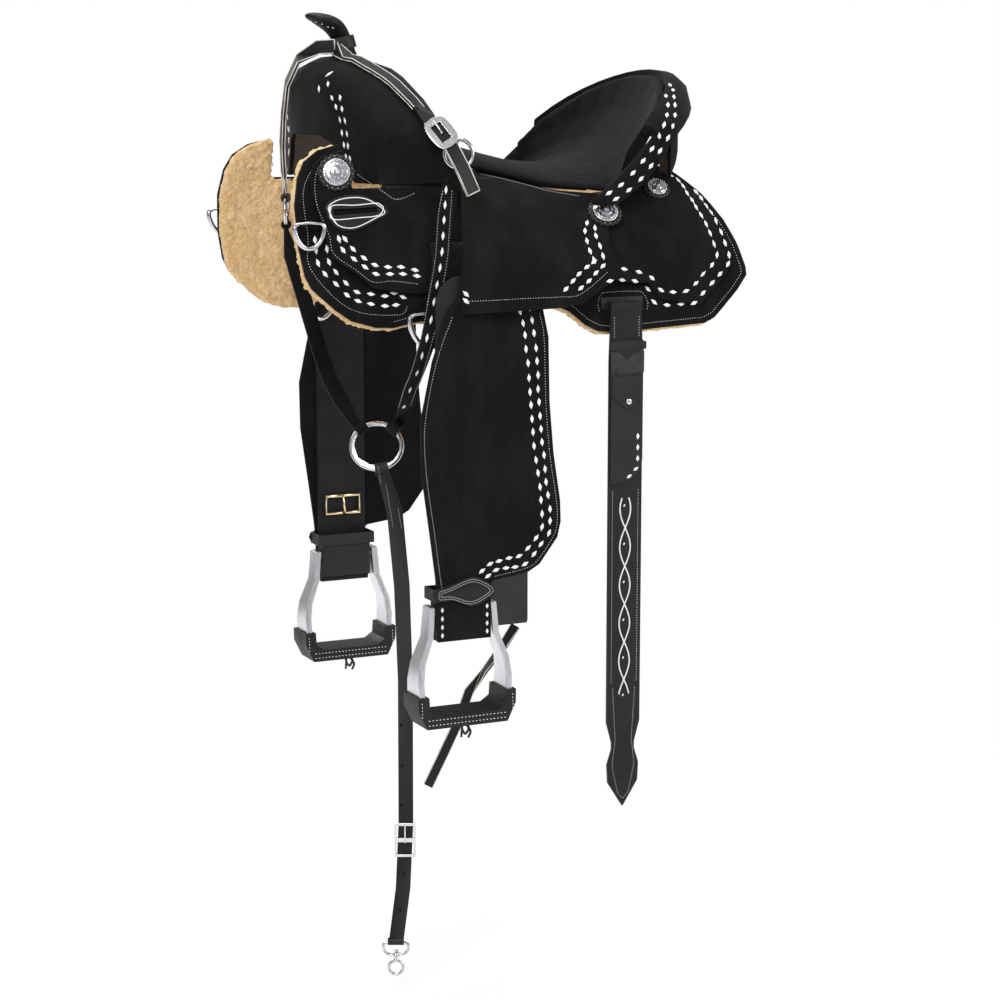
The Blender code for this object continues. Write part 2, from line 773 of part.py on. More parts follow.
def ring_points(centre, direction, radius, steps):
    turn = Vector(direction).to_track_quat("Z", "Y")
    return [
        centre + turn @ Vector((radius * math.cos(a), radius * math.sin(a), 0))
        for a in (2 * math.pi * k / steps for k in range(steps))
    ]


def build_horn():
    """The steel horn and the leather wrapped round its neck and cap."""
    lean = (HORN_TOP - HORN_BASE).normalized()
    cap_axis = Vector((math.sin(HORN_CAP_TILT), 0, math.cos(HORN_CAP_TILT)))
    cap_centre = HORN_TOP + Vector((-0.004, 0, 0.002))

    def stations(grow, base, cap_low, cap_high):
        return [
            (HORN_BASE + lean * base, lean, HORN_NECK_R + 0.003 + grow),
            (HORN_BASE + lean * 0.020, lean, HORN_NECK_R + grow),
            (HORN_BASE + lean * 0.042, lean, HORN_NECK_R + grow),
            (cap_centre - cap_axis * cap_low, cap_axis, HORN_CAP_R * 0.75 + grow),
            (cap_centre, cap_axis, HORN_CAP_R + grow),
            (cap_centre + cap_axis * cap_high, cap_axis, HORN_CAP_R * 0.85 + grow),
        ]

    def body(name, finish, *sizes):
        return loft(name, finish, [ring_points(c, d, r, 16) for c, d, r in stations(*sizes)])

    core = body("tree_horn", "nickel", 0, -0.010, 0.003, HORN_CAP_THICK)
    boolean(core, loft("seat", "nickel", fork_rings(FINE_GAP, 0)), "DIFFERENCE")
    cover = body("horn_cover", "smooth_leather", HORN_WRAP, -0.010, 0.007,
                 HORN_CAP_THICK + HORN_WRAP)
    boolean(cover, body("inside", "nickel", GAP, -0.020, 0.0036, HORN_CAP_THICK + GAP),
            "DIFFERENCE")
    above = GAP + FORK_COVER_THICK + FINE_GAP
    boolean(cover, loft("seat", "nickel", fork_rings(above, 0)), "DIFFERENCE")
    hole = cutter(
        cylinder_mesh(HORN_BASE - lean * 0.020, HORN_BASE + lean * 0.030, HORN_NECK_R + 0.005)
    )
    boolean(bpy.data.objects["fork_cover"], hole, "DIFFERENCE")


def build_latigo_keeper(tag, side):
    """The teardrop leather with a slot that holds the end of the latigo."""
    outline = smooth_outline(
        [
            (-0.324, 0.050), (-0.313, 0.026), (-0.290, 0.021), (-0.260, 0.033),
            (-0.242, 0.044), (-0.264, 0.061), (-0.283, 0.066), (-0.308, 0.063),
        ],
        2,
    )
    slot = [(-0.313, 0.048), (-0.313, 0.040), (-0.258, 0.044), (-0.258, 0.050)]

    def lift(x, z):
        return jockey_lift(x, z) + JOCKEY_THICK + GAP

    drape(f"latigo_keeper_{tag}", "smooth_leather", [outline, slot], 0.003, lift, side)


def surface_frame(x, z, lift, side):
    """A point on the surface and the direction straight out of it."""
    d = 0.004
    p, px, pz = (
        Vector((u, side * half_width(u, w, lift(u, w)), w)) for u, w in ((x, z), (x + d, z), (x, z + d))
    )
    out = (px - p).cross(pz - p).normalized()
    if out.y * side < 0:
        out = -out
    return p, out


CONCHO_STAND_OFF = 0.0008


def build_concho(name, x, z, lift, side, radius):
    """A domed silver concho on a scalloped leather rosette."""
    p, out = surface_frame(x, z, lift, side)
    p = p + out * CONCHO_STAND_OFF
    turn = out.to_track_quat("Z", "Y")
    sides = 16
    rings = []
    for rise, r in (
        (0.0, radius * 1.3), (0.0025, radius * 1.3), (0.0025, radius),
        (0.005, radius), (0.0075, radius * 0.72), (0.009, radius * 0.35),
    ):
        ring = []
        for k in range(sides):
            a = 2 * math.pi * k / sides
            wave = 0.93 if k % 2 and r > radius else 1.0
            flat = Vector((r * wave * math.cos(a), r * wave * math.sin(a), 0))
            ring.append(p + out * rise + turn @ flat)
        rings.append(ring)
    loft(name, "nickel", rings)


def dee_points(centre, along, wide, high, steps):
    """A D with its straight bar on top, hanging under the direction along."""
    points = [centre + along * (wide / 2), centre - along * (wide / 2)]
    for k in range(1, steps):
        a = math.pi + math.pi * k / steps
        points.append(
            centre + along * (wide / 2 * math.cos(a)) + Vector((0, 0, high * math.sin(a)))
        )
    return points


FRONT_DEE = (-0.346, 0.032)
FRONT_DEE_SIZE = (0.042, 0.034)
CINCH_DEE = (-0.192, -0.086)
CINCH_DEE_SIZE = (0.056, 0.046)


def build_dee(name, at, size, wire, lift, stand_off, side):
    """A dee whose bar follows the saddle's side at the point at."""
    x, z = at
    reach = size[0] / 2 + wire
    ends = []
    for s in (-1, 1):
        y = max(
            grid_half_width(x + s * reach, z + h, lift, fleece_lift) for h in (wire, 0.0, -size[1])
        )
        ends.append(Vector((x + s * reach, side * (y + wire + stand_off), z)))
    along = (ends[1] - ends[0]).normalized()
    middle = (ends[0] + ends[1]) / 2
    tube(name, "nickel", dee_points(middle, along, *size, 10), wire, True)
    return middle


def build_stirrup_leather(tag, side):
    """The strap from the bar to the stirrup, its thick lower loop, and the fender sewn over it."""
    inner = FENDER_Y - FINE_GAP - STIRRUP_STRAP_THICK
    half = STIRRUP_STRAP_WIDTH / 2
    top = arc((STIRRUP_X, SWING_Z), half, 0, 180, 10)
    low = SLEEVE_TOP_Z - 0.01
    outline = top + [(STIRRUP_X - half, low), (STIRRUP_X + half, low)]
    strap = plate(f"stirrup_leather_{tag}", "smooth_leather", [outline], inner,
                  STIRRUP_STRAP_THICK, side)
    bm = bmesh.new()
    bmesh.ops.create_cube(bm, size=1.0)
    outer = inner + STIRRUP_STRAP_THICK
    size = Vector((STIRRUP_STRAP_WIDTH, SLEEVE_THICK, SLEEVE_TOP_Z - SLEEVE_BOTTOM_Z))
    middle = Vector(
        (STIRRUP_X, side * (outer - SLEEVE_THICK / 2), (SLEEVE_TOP_Z + SLEEVE_BOTTOM_Z) / 2)
    )
    for v in bm.verts:
        v.co = Vector((v.co.x * size.x, v.co.y * size.y, v.co.z * size.z)) + middle
    edges = [
        e for e in bm.edges
        if abs(e.verts[0].co.x - e.verts[1].co.x) > size.x / 2
        and e.verts[0].co.y * side < middle.y * side
    ]
    bmesh.ops.bevel(bm, geom=edges, offset=0.008, segments=3, affect="EDGES")
    boolean(strap, add_object("block", mesh_from(bm, "block"), "nickel"), "UNION")
    bore = cutter(
        cylinder_mesh(
            (STIRRUP_X - half - 0.01, middle.y, STIRRUP_BAR_Z),
            (STIRRUP_X + half + 0.01, middle.y, STIRRUP_BAR_Z),
            STIRRUP_BAR_R + 0.0005,
        )
    )
    boolean(strap, bore, "DIFFERENCE")
    plate(f"fender_{tag}", "suede", [FENDER_OUTLINE], FENDER_Y, FENDER_THICK, side)
    return middle.y


def build_hobble(tag, side):
    """The strap round the stirrup leather just over the stirrup, with its wide leaf outside."""
    outer = FENDER_Y + FENDER_THICK + FINE_GAP
    back = FENDER_Y - FINE_GAP - SLEEVE_THICK - FINE_GAP
    left, right = STIRRUP_X - 0.0415, STIRRUP_X + 0.0395
    leaf = smooth_outline(
        [
            (left - HOBBLE_THICK, HOBBLE_Z + 0.008), (-0.180, HOBBLE_Z + 0.012),
            (-0.146, HOBBLE_Z + 0.022), (-0.124, HOBBLE_Z + 0.013),
            (right + HOBBLE_THICK, HOBBLE_Z + 0.001), (-0.126, HOBBLE_Z - 0.012),
            (-0.149, HOBBLE_Z - 0.018), (-0.176, HOBBLE_Z - 0.006),
            (left - HOBBLE_THICK, HOBBLE_Z - 0.006),
        ],
        2,
    )
    strap = plate(f"hobble_strap_{tag}", "smooth_leather", [leaf], outer, HOBBLE_THICK, side)
    outside = [(left - HOBBLE_THICK, 1), (right + HOBBLE_THICK, 1)]
    ring_outer = [(x, side * (outer + HOBBLE_THICK)) for x, _ in outside]
    ring_outer += [(x, side * (back - HOBBLE_THICK)) for x, _ in reversed(outside)]
    ring_inner = [(left, side * outer), (right, side * outer)]
    ring_inner += [(right, side * back), (left, side * back)]
    bm = flat_piece([ring_outer, ring_inner], HOBBLE_BAND)
    bmesh.ops.translate(bm, verts=bm.verts, vec=(0, 0, HOBBLE_Z))
    boolean(strap, add_object("band", mesh_from(bm, "band"), "nickel"), "UNION")


STIRRUP_SIDE_Z = (0.008, -0.034, -0.068, -0.092, -0.128)
STIRRUP_SIDE_X = (0.0485, 0.052, 0.065, 0.068, 0.0665)
STIRRUP_CORNER = 0.012


def stirrup_outline(grow, top):
    """The bent U of the stirrup below the height top, grown on every side, measured from its bar."""
    levels = [top] + [z for z in STIRRUP_SIDE_Z if z < top - 0.002]
    floor = -STIRRUP_DROP
    down = sorted(STIRRUP_SIDE_Z)
    sides = [(interpolate(z, down, STIRRUP_SIDE_X[::-1]), z) for z in levels]
    outer = [(x + grow, z) for x, z in sides]
    outer.append((outer[-1][0] - STIRRUP_CORNER, floor - STIRRUP_FLOOR_THICK - grow))
    inner = [(x - STIRRUP_SIDE_THICK - grow, z) for x, z in sides]
    inner.append((inner[-1][0] - STIRRUP_CORNER, floor + grow))
    left = [(-x, z) for x, z in reversed(outer)]
    back = [(-x, z) for x, z in inner]
    return outer + left + back + list(reversed(inner))


def deepen(bm, extra, y):
    """Widens the stirrup from its neck to its floor and puts it in place."""
    for v in bm.verts:
        x, z, depth = v.co
        share = ease(-z / STIRRUP_DROP)
        wide = STIRRUP_TOP_DEPTH + (STIRRUP_FLOOR_DEPTH - STIRRUP_TOP_DEPTH) * share + 2 * extra
        v.co = (x + STIRRUP_X, y + depth * wide, z + STIRRUP_BAR_Z)


def build_stirrup(tag, y):
    """The aluminium stirrup on its bar, and the leather sewn round its tread."""
    bm = flat_piece([stirrup_outline(0, STIRRUP_SIDE_Z[0])], 1.0)
    deepen(bm, 0, y)
    stirrup = add_object(f"stirrup_{tag}", mesh_from(bm, "stirrup"), "aluminium")
    reach = STIRRUP_SIDE_X[0] - STIRRUP_SIDE_THICK / 2
    bar = cylinder_mesh(
        (STIRRUP_X - reach, y, STIRRUP_BAR_Z), (STIRRUP_X + reach, y, STIRRUP_BAR_Z),
        STIRRUP_BAR_R, 12,
    )
    boolean(stirrup, add_object("bar", bar, "nickel"), "UNION")
    cut = -STIRRUP_DROP + TREAD_RISE
    grow = TREAD_COVER + FINE_GAP
    bm = flat_piece([stirrup_outline(grow, cut)], 1.0)
    deepen(bm, grow, y)
    cover = add_object(f"stirrup_tread_{tag}", mesh_from(bm, "tread"), "smooth_leather")
    bm = flat_piece([stirrup_outline(FINE_GAP, cut + 0.010)], 1.0)
    deepen(bm, FINE_GAP, y)
    boolean(cover, cutter(mesh_from(bm, "hollow")), "DIFFERENCE")


BILLET_HINGE_Y = half_width(BILLET_X, BILLET_HINGE_Z, SKIRT_LIFT + SKIRT_THICK / 2)
BILLET_Y = GAP + max(
    half_width(x, z, SKIRT_LIFT + SKIRT_THICK) for x in (0.050, 0.100) for z in (-0.10, -0.122)
)


def build_billet(tag, side):
    """The rear billet: a strap hooked through the slot in the skirt, with its row of holes."""
    half = BILLET_WIDTH / 2
    end = BILLET_END_Z if tag == "near" else FAR_BILLET_END_Z
    right = [(BILLET_X + half * 0.9, BILLET_HINGE_Z - 0.004), (BILLET_X + half, -0.160)]
    if tag == "near":
        right += [
            (BILLET_X + half, -0.655), (BILLET_X + half * 0.68, -0.684),
            (BILLET_X + half * 0.68, -0.694), (BILLET_X + half * 0.95, -0.715),
            (BILLET_X + half * 0.90, -0.740),
        ]
        outline = right + [(BILLET_X, end)]
    else:
        right += [(BILLET_X + half, end + 0.02), (BILLET_X + half * 0.5, end)]
        outline = list(right)
    outline += [(2 * BILLET_X - x, z) for x, z in reversed(right)]
    holes = []
    if tag == "near":
        for k in range(BILLET_HOLES):
            z = BILLET_FIRST_HOLE_Z - k * BILLET_HOLE_PITCH
            holes.append(arc((BILLET_X, z), BILLET_HOLE_R, 0, 315, 7))
    strap = plate(f"rear_billet_{tag}", "smooth_leather", [outline] + holes, BILLET_Y,
                  BILLET_THICK, side)
    r = BILLET_THICK / 2
    hook = arc((BILLET_HINGE_Y, BILLET_HINGE_Z), r, 90, 270, 6)
    hook += [(BILLET_Y + 0.001, BILLET_HINGE_Z - r), (BILLET_Y + 0.001, BILLET_HINGE_Z - 0.022)]
    hook += [(BILLET_Y + BILLET_THICK, BILLET_HINGE_Z - 0.022)]
    hook += [(BILLET_Y + BILLET_THICK, BILLET_HINGE_Z), (BILLET_Y + r, BILLET_HINGE_Z + r)]
    bm = flat_piece([hook], BILLET_WIDTH * 0.9)
    for v in bm.verts:
        u, w, depth = v.co
        v.co = (BILLET_X + depth, side * u, w)
    boolean(strap, add_object("fold", mesh_from(bm, "fold"), "nickel"), "UNION")


def build_billet_flap():
    """The near billet's over-flap, riveted under its keeper."""
    y = BILLET_Y + BILLET_THICK + FINE_GAP
    left, right = BILLET_X - 0.024, BILLET_X + 0.024
    outline = [
        (left, -0.132), (right, -0.132), (right, -0.190), (right, -0.294),
        (right - 0.006, -0.312), (BILLET_X + 0.003, -0.322), (left, -0.325),
    ]
    plate("rear_billet_flap_near", "smooth_leather", [outline], y, 0.003, SIDES["near"])


CINCH_X = 0.098
CINCH_HALF = 0.050
CINCH_TOP = FAR_BILLET_END_Z + 0.020
CINCH_BOTTOM = -0.615
CINCH_FOLD = 0.0035


def build_flank_cinch():
    """The flank cinch folded up under the far billet, its buckle and the strap to the front cinch."""
    side = SIDES["far"]
    y = BILLET_Y + BILLET_THICK / 2
    a = BILLET_THICK / 2 + FINE_GAP
    b = a + CINCH_FOLD
    profile = [
        (y - b, CINCH_TOP), (y - a, CINCH_TOP), (y - a, CINCH_BOTTOM + b),
        (y, CINCH_BOTTOM + CINCH_FOLD), (y + a, CINCH_BOTTOM + b), (y + a, CINCH_TOP),
        (y + b, CINCH_TOP), (y + b, CINCH_BOTTOM + b), (y + a, CINCH_BOTTOM),
        (y - a, CINCH_BOTTOM), (y - b, CINCH_BOTTOM + b),
    ]
    bm = flat_piece([profile], 2 * CINCH_HALF)
    for v in bm.verts:
        u, w, depth = v.co
        v.co = (CINCH_X + depth, side * u, w)
    add_object("flank_cinch", mesh_from(bm, "flank_cinch"), "smooth_leather")
    out = y + b + FINE_GAP
    frame = [(BILLET_X - 0.033, -0.440), (BILLET_X + 0.033, -0.440),
             (BILLET_X + 0.033, -0.486), (BILLET_X - 0.033, -0.486)]
    inside = [(BILLET_X - 0.026, -0.446), (BILLET_X + 0.026, -0.446),
              (BILLET_X + 0.026, -0.480), (BILLET_X - 0.026, -0.480)]
    plate("flank_cinch_buckle", "nickel", [frame, inside], out, 0.004, side)
    path = [(0.130, y, CINCH_BOTTOM - 0.0036), (0.105, y - 0.004, -0.650), (0.075, y - 0.010, -0.680),
            (0.045, y - 0.014, -0.710), (0.025, y - 0.018, -0.755), (-0.002, y - 0.024, -0.800),
            (-0.030, y - 0.030, -0.845)]
    ribbon("cinch_connector_strap", "smooth_leather", path, [0.014] * 7, 0.0035,
           lambda i: (0.7, 0, 0.7))


def eye(strap, ring, at, length, room=2 * FINE_GAP):
    """Rolls a strap's end round a ring at a point of it: a short sleeve, bored to the bent wire."""
    centre, normal, radius, steps, wire = ring
    out = (at - centre).normalized()
    along = normal.cross(out).normalized()
    bow = radius - math.sqrt(radius**2 - (length / 2) ** 2)
    middle = at - out * (bow / 2)
    reach = along * (length / 2)
    sleeve = cylinder_mesh(middle - reach, middle + reach, wire + bow / 2 + EYE_WALL, 12)
    boolean(strap, add_object("sleeve", sleeve, "nickel"), "UNION")
    points = ring_points(centre, normal, radius, steps)
    boolean(strap, tube("room", "nickel", points, wire + room, True), "DIFFERENCE")


NEAR_STRAP_ON_FORK = (
    (-0.186, -0.150), (-0.191, -0.138), (-0.197, -0.124), (-0.203, -0.110), (-0.210, -0.096),
    (-0.217, -0.082), (-0.225, -0.067), (-0.233, -0.053), (-0.240, -0.040),
)
NEAR_STRAP_TAIL = (
    (-0.133, -0.204, 0.066), (-0.147, -0.201, 0.098), (-0.160, -0.197, 0.124),
    (-0.1695, -0.184, 0.141), (-0.179, -0.171, 0.158),
)
STRAP_OVER_FORK = GAP + FORK_COVER_THICK + GAP + STRAP_THICK / 2
FAR_STRAP_PATH = [
    (-0.249, -0.017, 0.2525), (-0.268, -0.006, 0.2515), (-0.290, 0.012, 0.236),
    (-0.299, 0.032, 0.203), (-0.298, 0.050, 0.160), (-0.293, 0.070, 0.120),
    (-0.284, 0.090, 0.080), (-0.279, 0.100, 0.056),
]
NEAR_RING = Vector((-0.146, -0.186, 0.116))
NEAR_RING_NORMAL = Vector((-0.35, -0.93, 0.10)).normalized()
SMALL_RING_R = 0.0190
SMALL_RING_WIRE = 0.003
FAR_RING = Vector((-0.278, 0.100, 0.030))
FAR_RING_NORMAL = Vector((0.90, -0.42, 0.0)).normalized()
# (x, clearance over the near skirt, z) where the near arm hangs past the saddle
NEAR_ARM_OVER_SKIRT = (
    (-0.170, 0.0286, 0.033), (-0.178, 0.0258, -0.007), (-0.186, 0.0206, -0.049),
    (-0.194, 0.0199, -0.094), (-0.200, 0.0204, -0.119), (-0.206, 0.0115, -0.148),
)
NEAR_ARM_PATH = [
    (-0.149, -0.188, 0.092), (-0.158, -0.188, 0.072),
    *(
        (x, -half_width(x, z, SKIRT_LIFT + SKIRT_THICK) - out, z)
        for x, out, z in NEAR_ARM_OVER_SKIRT
    ),
    (-0.207, -0.172, -0.183), (-0.203, -0.144, -0.213),
]
FAR_ARM_PATH = [
    (-0.279, 0.100, 0.008), (-0.272, 0.098, -0.030), (-0.262, 0.092, -0.070),
    (-0.253, 0.080, -0.115), (-0.250, 0.050, -0.160), (-0.250, 0.010, -0.197),
    (-0.250, -0.035, -0.222),
]
CENTRE_RING = Vector((-0.228, -0.100, -0.272))
CENTRE_RING_NORMAL = Vector((-0.35, -0.75, 0.56)).normalized()
CENTRE_RING_R = 0.034
CENTRE_STRAP_ACROSS = Vector((0.906, -0.423, 0.0)).normalized()
NEAR_RING_SHAPE = (NEAR_RING, NEAR_RING_NORMAL, SMALL_RING_R, 16, SMALL_RING_WIRE)
FAR_RING_SHAPE = (FAR_RING, FAR_RING_NORMAL, SMALL_RING_R, 16, SMALL_RING_WIRE)
CENTRE_RING_SHAPE = (CENTRE_RING, CENTRE_RING_NORMAL, CENTRE_RING_R, 24, RING_WIRE_R)


def on_centre_ring(degrees):
    a = math.radians(degrees)
    up = CENTRE_RING_NORMAL.cross(CENTRE_STRAP_ACROSS)
    out = CENTRE_STRAP_ACROSS * math.cos(a) + up * math.sin(a)
    return CENTRE_RING + out * CENTRE_RING_R, out


def build_wither_strap():
    """The strap looped round the horn's neck, with its buckle and a ring for each end."""
    lean = (HORN_TOP - HORN_BASE).normalized()
    neck = HORN_BASE + lean * 0.029
    tilt = (lean + Vector((0.20, 0.12, 0))).normalized()
    turn = tilt.to_track_quat("Z", "Y")
    inner = HORN_NECK_R + HORN_WRAP + 0.0035
    rings = []
    for k in range(20):
        a = 2 * math.pi * k / 20
        out = turn @ Vector((math.cos(a), math.sin(a), 0))
        rings.append([
            neck + out * inner - tilt * 0.0075,
            neck + out * (inner + STRAP_THICK) - tilt * 0.0075,
            neck + out * (inner + STRAP_THICK) + tilt * 0.0085,
            neck + out * inner + tilt * 0.0085,
        ])
    strap = loft("wither_strap", "smooth_leather", rings, True)

    path = [Vector(p) for p in NEAR_STRAP_TAIL]
    across = [Vector((0.8, 0.0, 0.5))] * len(path)
    for x, y in NEAR_STRAP_ON_FORK:
        low, mid, high = (
            fork_height(x + d, y, STRAP_OVER_FORK) for d in (-0.008, 0.0, 0.008)
        )
        path.append(Vector((x, y, mid + 0.0012)))
        across.append(Vector((0.016, 0.0, high - low)))
    path.append(neck + Vector((-0.012, -0.017, -0.005)))
    across.append(Vector((0.2, 0.0, 1.0)))
    near = ribbon("near", "nickel", path, [0.018] * len(path), STRAP_THICK, lambda i: across[i])
    boolean(strap, near, "UNION")

    far_across = [(0.1, 0.0, 1.0)] * 2 + [(0.35, 0.6, 0.7)] + [(0.2, 1.0, 0.2)] * 4
    far_across.append(FAR_RING_NORMAL.cross((0, 0, 1)))
    far = ribbon("far", "nickel", FAR_STRAP_PATH, [0.018] * 7 + [0.013], STRAP_THICK,
                 lambda i: far_across[i])
    boolean(strap, far, "UNION")
    eye(strap, FAR_RING_SHAPE, FAR_RING + Vector((0, 0, SMALL_RING_R)), 0.014)
    top = NEAR_RING + on_plane((-0.5, 0, 1.0), NEAR_RING_NORMAL) * SMALL_RING_R
    link = ribbon("link", "nickel", [Vector(NEAR_STRAP_TAIL[3]), top], [0.013] * 2,
                  STRAP_THICK, lambda i: NEAR_RING_NORMAL.cross(top - NEAR_RING))
    boolean(strap, link, "UNION")
    eye(strap, NEAR_RING_SHAPE, top, 0.013)
    build_ring("collar_ring_near", NEAR_RING_SHAPE)
    build_ring("collar_ring_far", FAR_RING_SHAPE)


def build_ring(name, ring):
    centre, normal, radius, steps, wire = ring
    tube(name, "nickel", ring_points(centre, normal, radius, steps), wire, True)


def on_plane(direction, normal):
    """The direction pressed flat into the plane across the normal."""
    d = Vector(direction)
    return (d - normal * d.dot(normal)).normalized()


WITHER_BUCKLE_LONG = 0.044
WITHER_BUCKLE_WIDE = 0.032


def build_wither_buckle():
    """The buckle lying on the near part of the wither strap."""
    a, b = Vector(NEAR_STRAP_TAIL[2]), Vector(NEAR_STRAP_TAIL[4])
    along = (b - a).normalized()
    across = Vector((0.8, 0.0, 0.5))
    across = (across - along * across.dot(along)).normalized()
    up = across.cross(along)
    if up.y > 0:
        up = -up
    half_l, half_w = WITHER_BUCKLE_LONG / 2, WITHER_BUCKLE_WIDE / 2
    frame = smooth_outline(
        [
            (-half_l, -half_w * 0.55), (-half_l * 0.55, -half_w), (half_l * 0.55, -half_w),
            (half_l, -half_w * 0.55), (half_l, half_w * 0.55), (half_l * 0.55, half_w),
            (-half_l * 0.55, half_w), (-half_l, half_w * 0.55),
        ],
        2,
    )
    window = [(-0.013, -0.0075), (0.013, -0.0075), (0.013, 0.0075), (-0.013, 0.0075)]
    bm = flat_piece([frame, window], 0.003)
    middle = (a + b) / 2 + up * (STRAP_THICK / 2 + 0.0025)
    for v in bm.verts:
        u, w, depth = v.co
        v.co = middle + along * u + across * w + up * depth
    add_object("wither_buckle_near", mesh_from(bm, "buckle"), "nickel")


CENTRE_STRAP_LINE = ((-0.357, -0.214), (-0.458, -0.206), (-0.588, -0.2025),
                     (-0.787, -0.203), (-0.880, -0.207), (-0.952, -0.2155))
SNAP_BAR_Z = -0.957
SNAP_WIRE_R = 0.0022


def on_centre_strap(x, z, out=0.0):
    """A point on the centre strap's middle plane, out in front of it."""
    at, _ = on_centre_ring(282)
    front = Vector((0, 0, 1)).cross(CENTRE_STRAP_ACROSS)
    if front.y > 0:
        front = -front
    p = at + CENTRE_STRAP_ACROSS * ((x - at.x) / CENTRE_STRAP_ACROSS.x) + front * out
    p.z = z
    return p


def build_breast_collar():
    """The breast collar arms, the centre ring and the strap under it that ends in a snap."""
    for name, path, ring, degrees in (
        ("breast_arm_near", NEAR_ARM_PATH, NEAR_RING_SHAPE, 50),
        ("breast_arm_far", FAR_ARM_PATH, FAR_RING_SHAPE, 130),
    ):
        centre, normal = ring[:2]
        at, out = on_centre_ring(degrees)
        foot = on_plane((0, 0, -1), normal)
        full = [Vector(p) for p in path] + [at + out * 0.016, at + out * 0.005]
        tangent = CENTRE_RING_NORMAL.cross(out)
        tangent = tangent if tangent.x > 0 else -tangent
        start = normal.cross(foot)
        start = start if start.x > 0 else -start
        count = len(full)
        twist = [Vector((1, 0, 0.3)).lerp(tangent, ease((i - count + 4) / 3)) for i in range(count)]
        twist[0] = start
        widths = [0.013] + [0.021] * (count - 3) + [0.014] * 2
        arm = ribbon(name, "suede", full, widths, STRAP_THICK, lambda i: twist[i])
        eye(arm, ring, centre + foot * SMALL_RING_R, 0.013)
        eye(arm, CENTRE_RING_SHAPE, at, 0.016)
    build_ring("centre_ring", CENTRE_RING_SHAPE)

    at, out = on_centre_ring(282)
    path = [on_centre_strap(x, z) for z, x in CENTRE_STRAP_LINE]
    bar = on_centre_strap(-0.2165, SNAP_BAR_Z)
    path = [at] + path + [bar]
    widths = [0.016, 0.021, 0.021, 0.020, 0.020, 0.020, 0.020, 0.018]
    strap = ribbon("centre_strap", "smooth_leather", path, widths, STRAP_THICK,
                   lambda i: CENTRE_STRAP_ACROSS)
    eye(strap, CENTRE_RING_SHAPE, at, 0.018, LOOSE_EYE)
    wide = CENTRE_STRAP_ACROSS * 0.011
    sleeve = cylinder_mesh(bar - wide, bar + wide, SNAP_WIRE_R + 0.003, 12)
    boolean(strap, add_object("sleeve", sleeve, "nickel"), "UNION")
    bore = cylinder_mesh(bar - wide * 1.5, bar + wide * 1.5, SNAP_WIRE_R + FINE_GAP, 12)
    boolean(strap, cutter(bore), "DIFFERENCE")

    frame = [(-0.0145, -0.024), (0.0145, -0.024), (0.0145, 0.024), (-0.0145, 0.024)]
    upper = [(-0.0115, 0.003), (0.0115, 0.003), (0.0115, 0.020), (-0.0115, 0.020)]
    lower = [(u, -w) for u, w in upper]
    bm = flat_piece([frame, upper, lower], 0.0025)
    middle = on_centre_strap(-0.204, -0.811, STRAP_THICK / 2 + 0.0018)
    front = on_centre_strap(-0.204, -0.811, 1.0) - on_centre_strap(-0.204, -0.811)
    for v in bm.verts:
        u, w, depth = v.co
        v.co = middle + CENTRE_STRAP_ACROSS * u + Vector((0, 0, w)) + front * depth
    add_object("centre_strap_buckle", mesh_from(bm, "buckle"), "nickel")

    shape = ((-0.017, 0), (0.017, 0), (0.018, -0.010), (0.013, -0.019), (-0.013, -0.019),
             (-0.018, -0.010))
    points = [bar + CENTRE_STRAP_ACROSS * u + Vector((0, 0, w)) for u, w in shape]
    loop = tube("centre_snap_loop", "nickel", points, SNAP_WIRE_R, True)
    low = bar + Vector((0, 0, -0.019))
    boss = cylinder_mesh(low + Vector((0, 0, 0.004)), low - Vector((0, 0, 0.004)), 0.0048, 12)
    boolean(loop, add_object("boss", boss, "nickel"), "UNION")
    boolean(loop, cutter(cylinder_mesh(low + Vector((0, 0, 0.01)), low - Vector((0, 0, 0.01)),
                                       0.0024, 12)), "DIFFERENCE")
    ring = ring_points(low - Vector((0, 0, 0.0185)), CENTRE_STRAP_ACROSS.cross((0, 0, 1)), 0.0100, 16)
    hook = tube("centre_snap_hook", "nickel", ring, 0.0024, True)
    for a, b, r in ((0.0048, -0.0090, 0.0020), (0.0046, 0.0070, 0.0036)):
        pin = cylinder_mesh(low + Vector((0, 0, a)), low + Vector((0, 0, b)), r, 12)
        boolean(hook, add_object("pin", pin, "nickel"), "UNION")


def hang(pivot, *names):
    """Puts the origin of each piece on the axis that it turns on."""
    pivot = Vector(pivot)
    for name in names:
        piece = bpy.data.objects[name]
        piece.data.transform(Matrix.Translation(-pivot))
        piece.location = pivot


for tag, side in SIDES.items():
    build_skirts(tag, side)
    build_jockeys(tag, side)
    build_latigo_keeper(tag, side)
    build_concho(f"concho_front_{tag}", -0.304, 0.093, on_jockey_lift, side, 0.018)
    build_concho(f"concho_seat_{tag}", 0.068, 0.033, on_side_jockey_lift, side, 0.018)
    build_concho(f"concho_rear_{tag}", 0.158, 0.062, on_jockey_lift, side, 0.014)
    skirt_top = SKIRT_LIFT + SKIRT_THICK
    dee_bar = build_dee(f"front_dee_{tag}", FRONT_DEE, FRONT_DEE_SIZE, RING_WIRE_R,
                        skirt_top + JOCKEY_THICK, GAP, side)
    build_dee(f"cinch_dee_{tag}", CINCH_DEE, CINCH_DEE_SIZE, 0.004, skirt_top, -FINE_GAP, side)
    bar_y = build_stirrup_leather(tag, side)
    build_hobble(tag, side)
    build_stirrup(tag, bar_y)
    build_billet(tag, side)
    hang(dee_bar, f"front_dee_{tag}")
    hang((SWING_X, side * FENDER_Y, SWING_Z), f"stirrup_leather_{tag}", f"fender_{tag}",
         f"hobble_strap_{tag}")
    hang((STIRRUP_X, bar_y, STIRRUP_BAR_Z), f"stirrup_{tag}", f"stirrup_tread_{tag}")
build_seat()
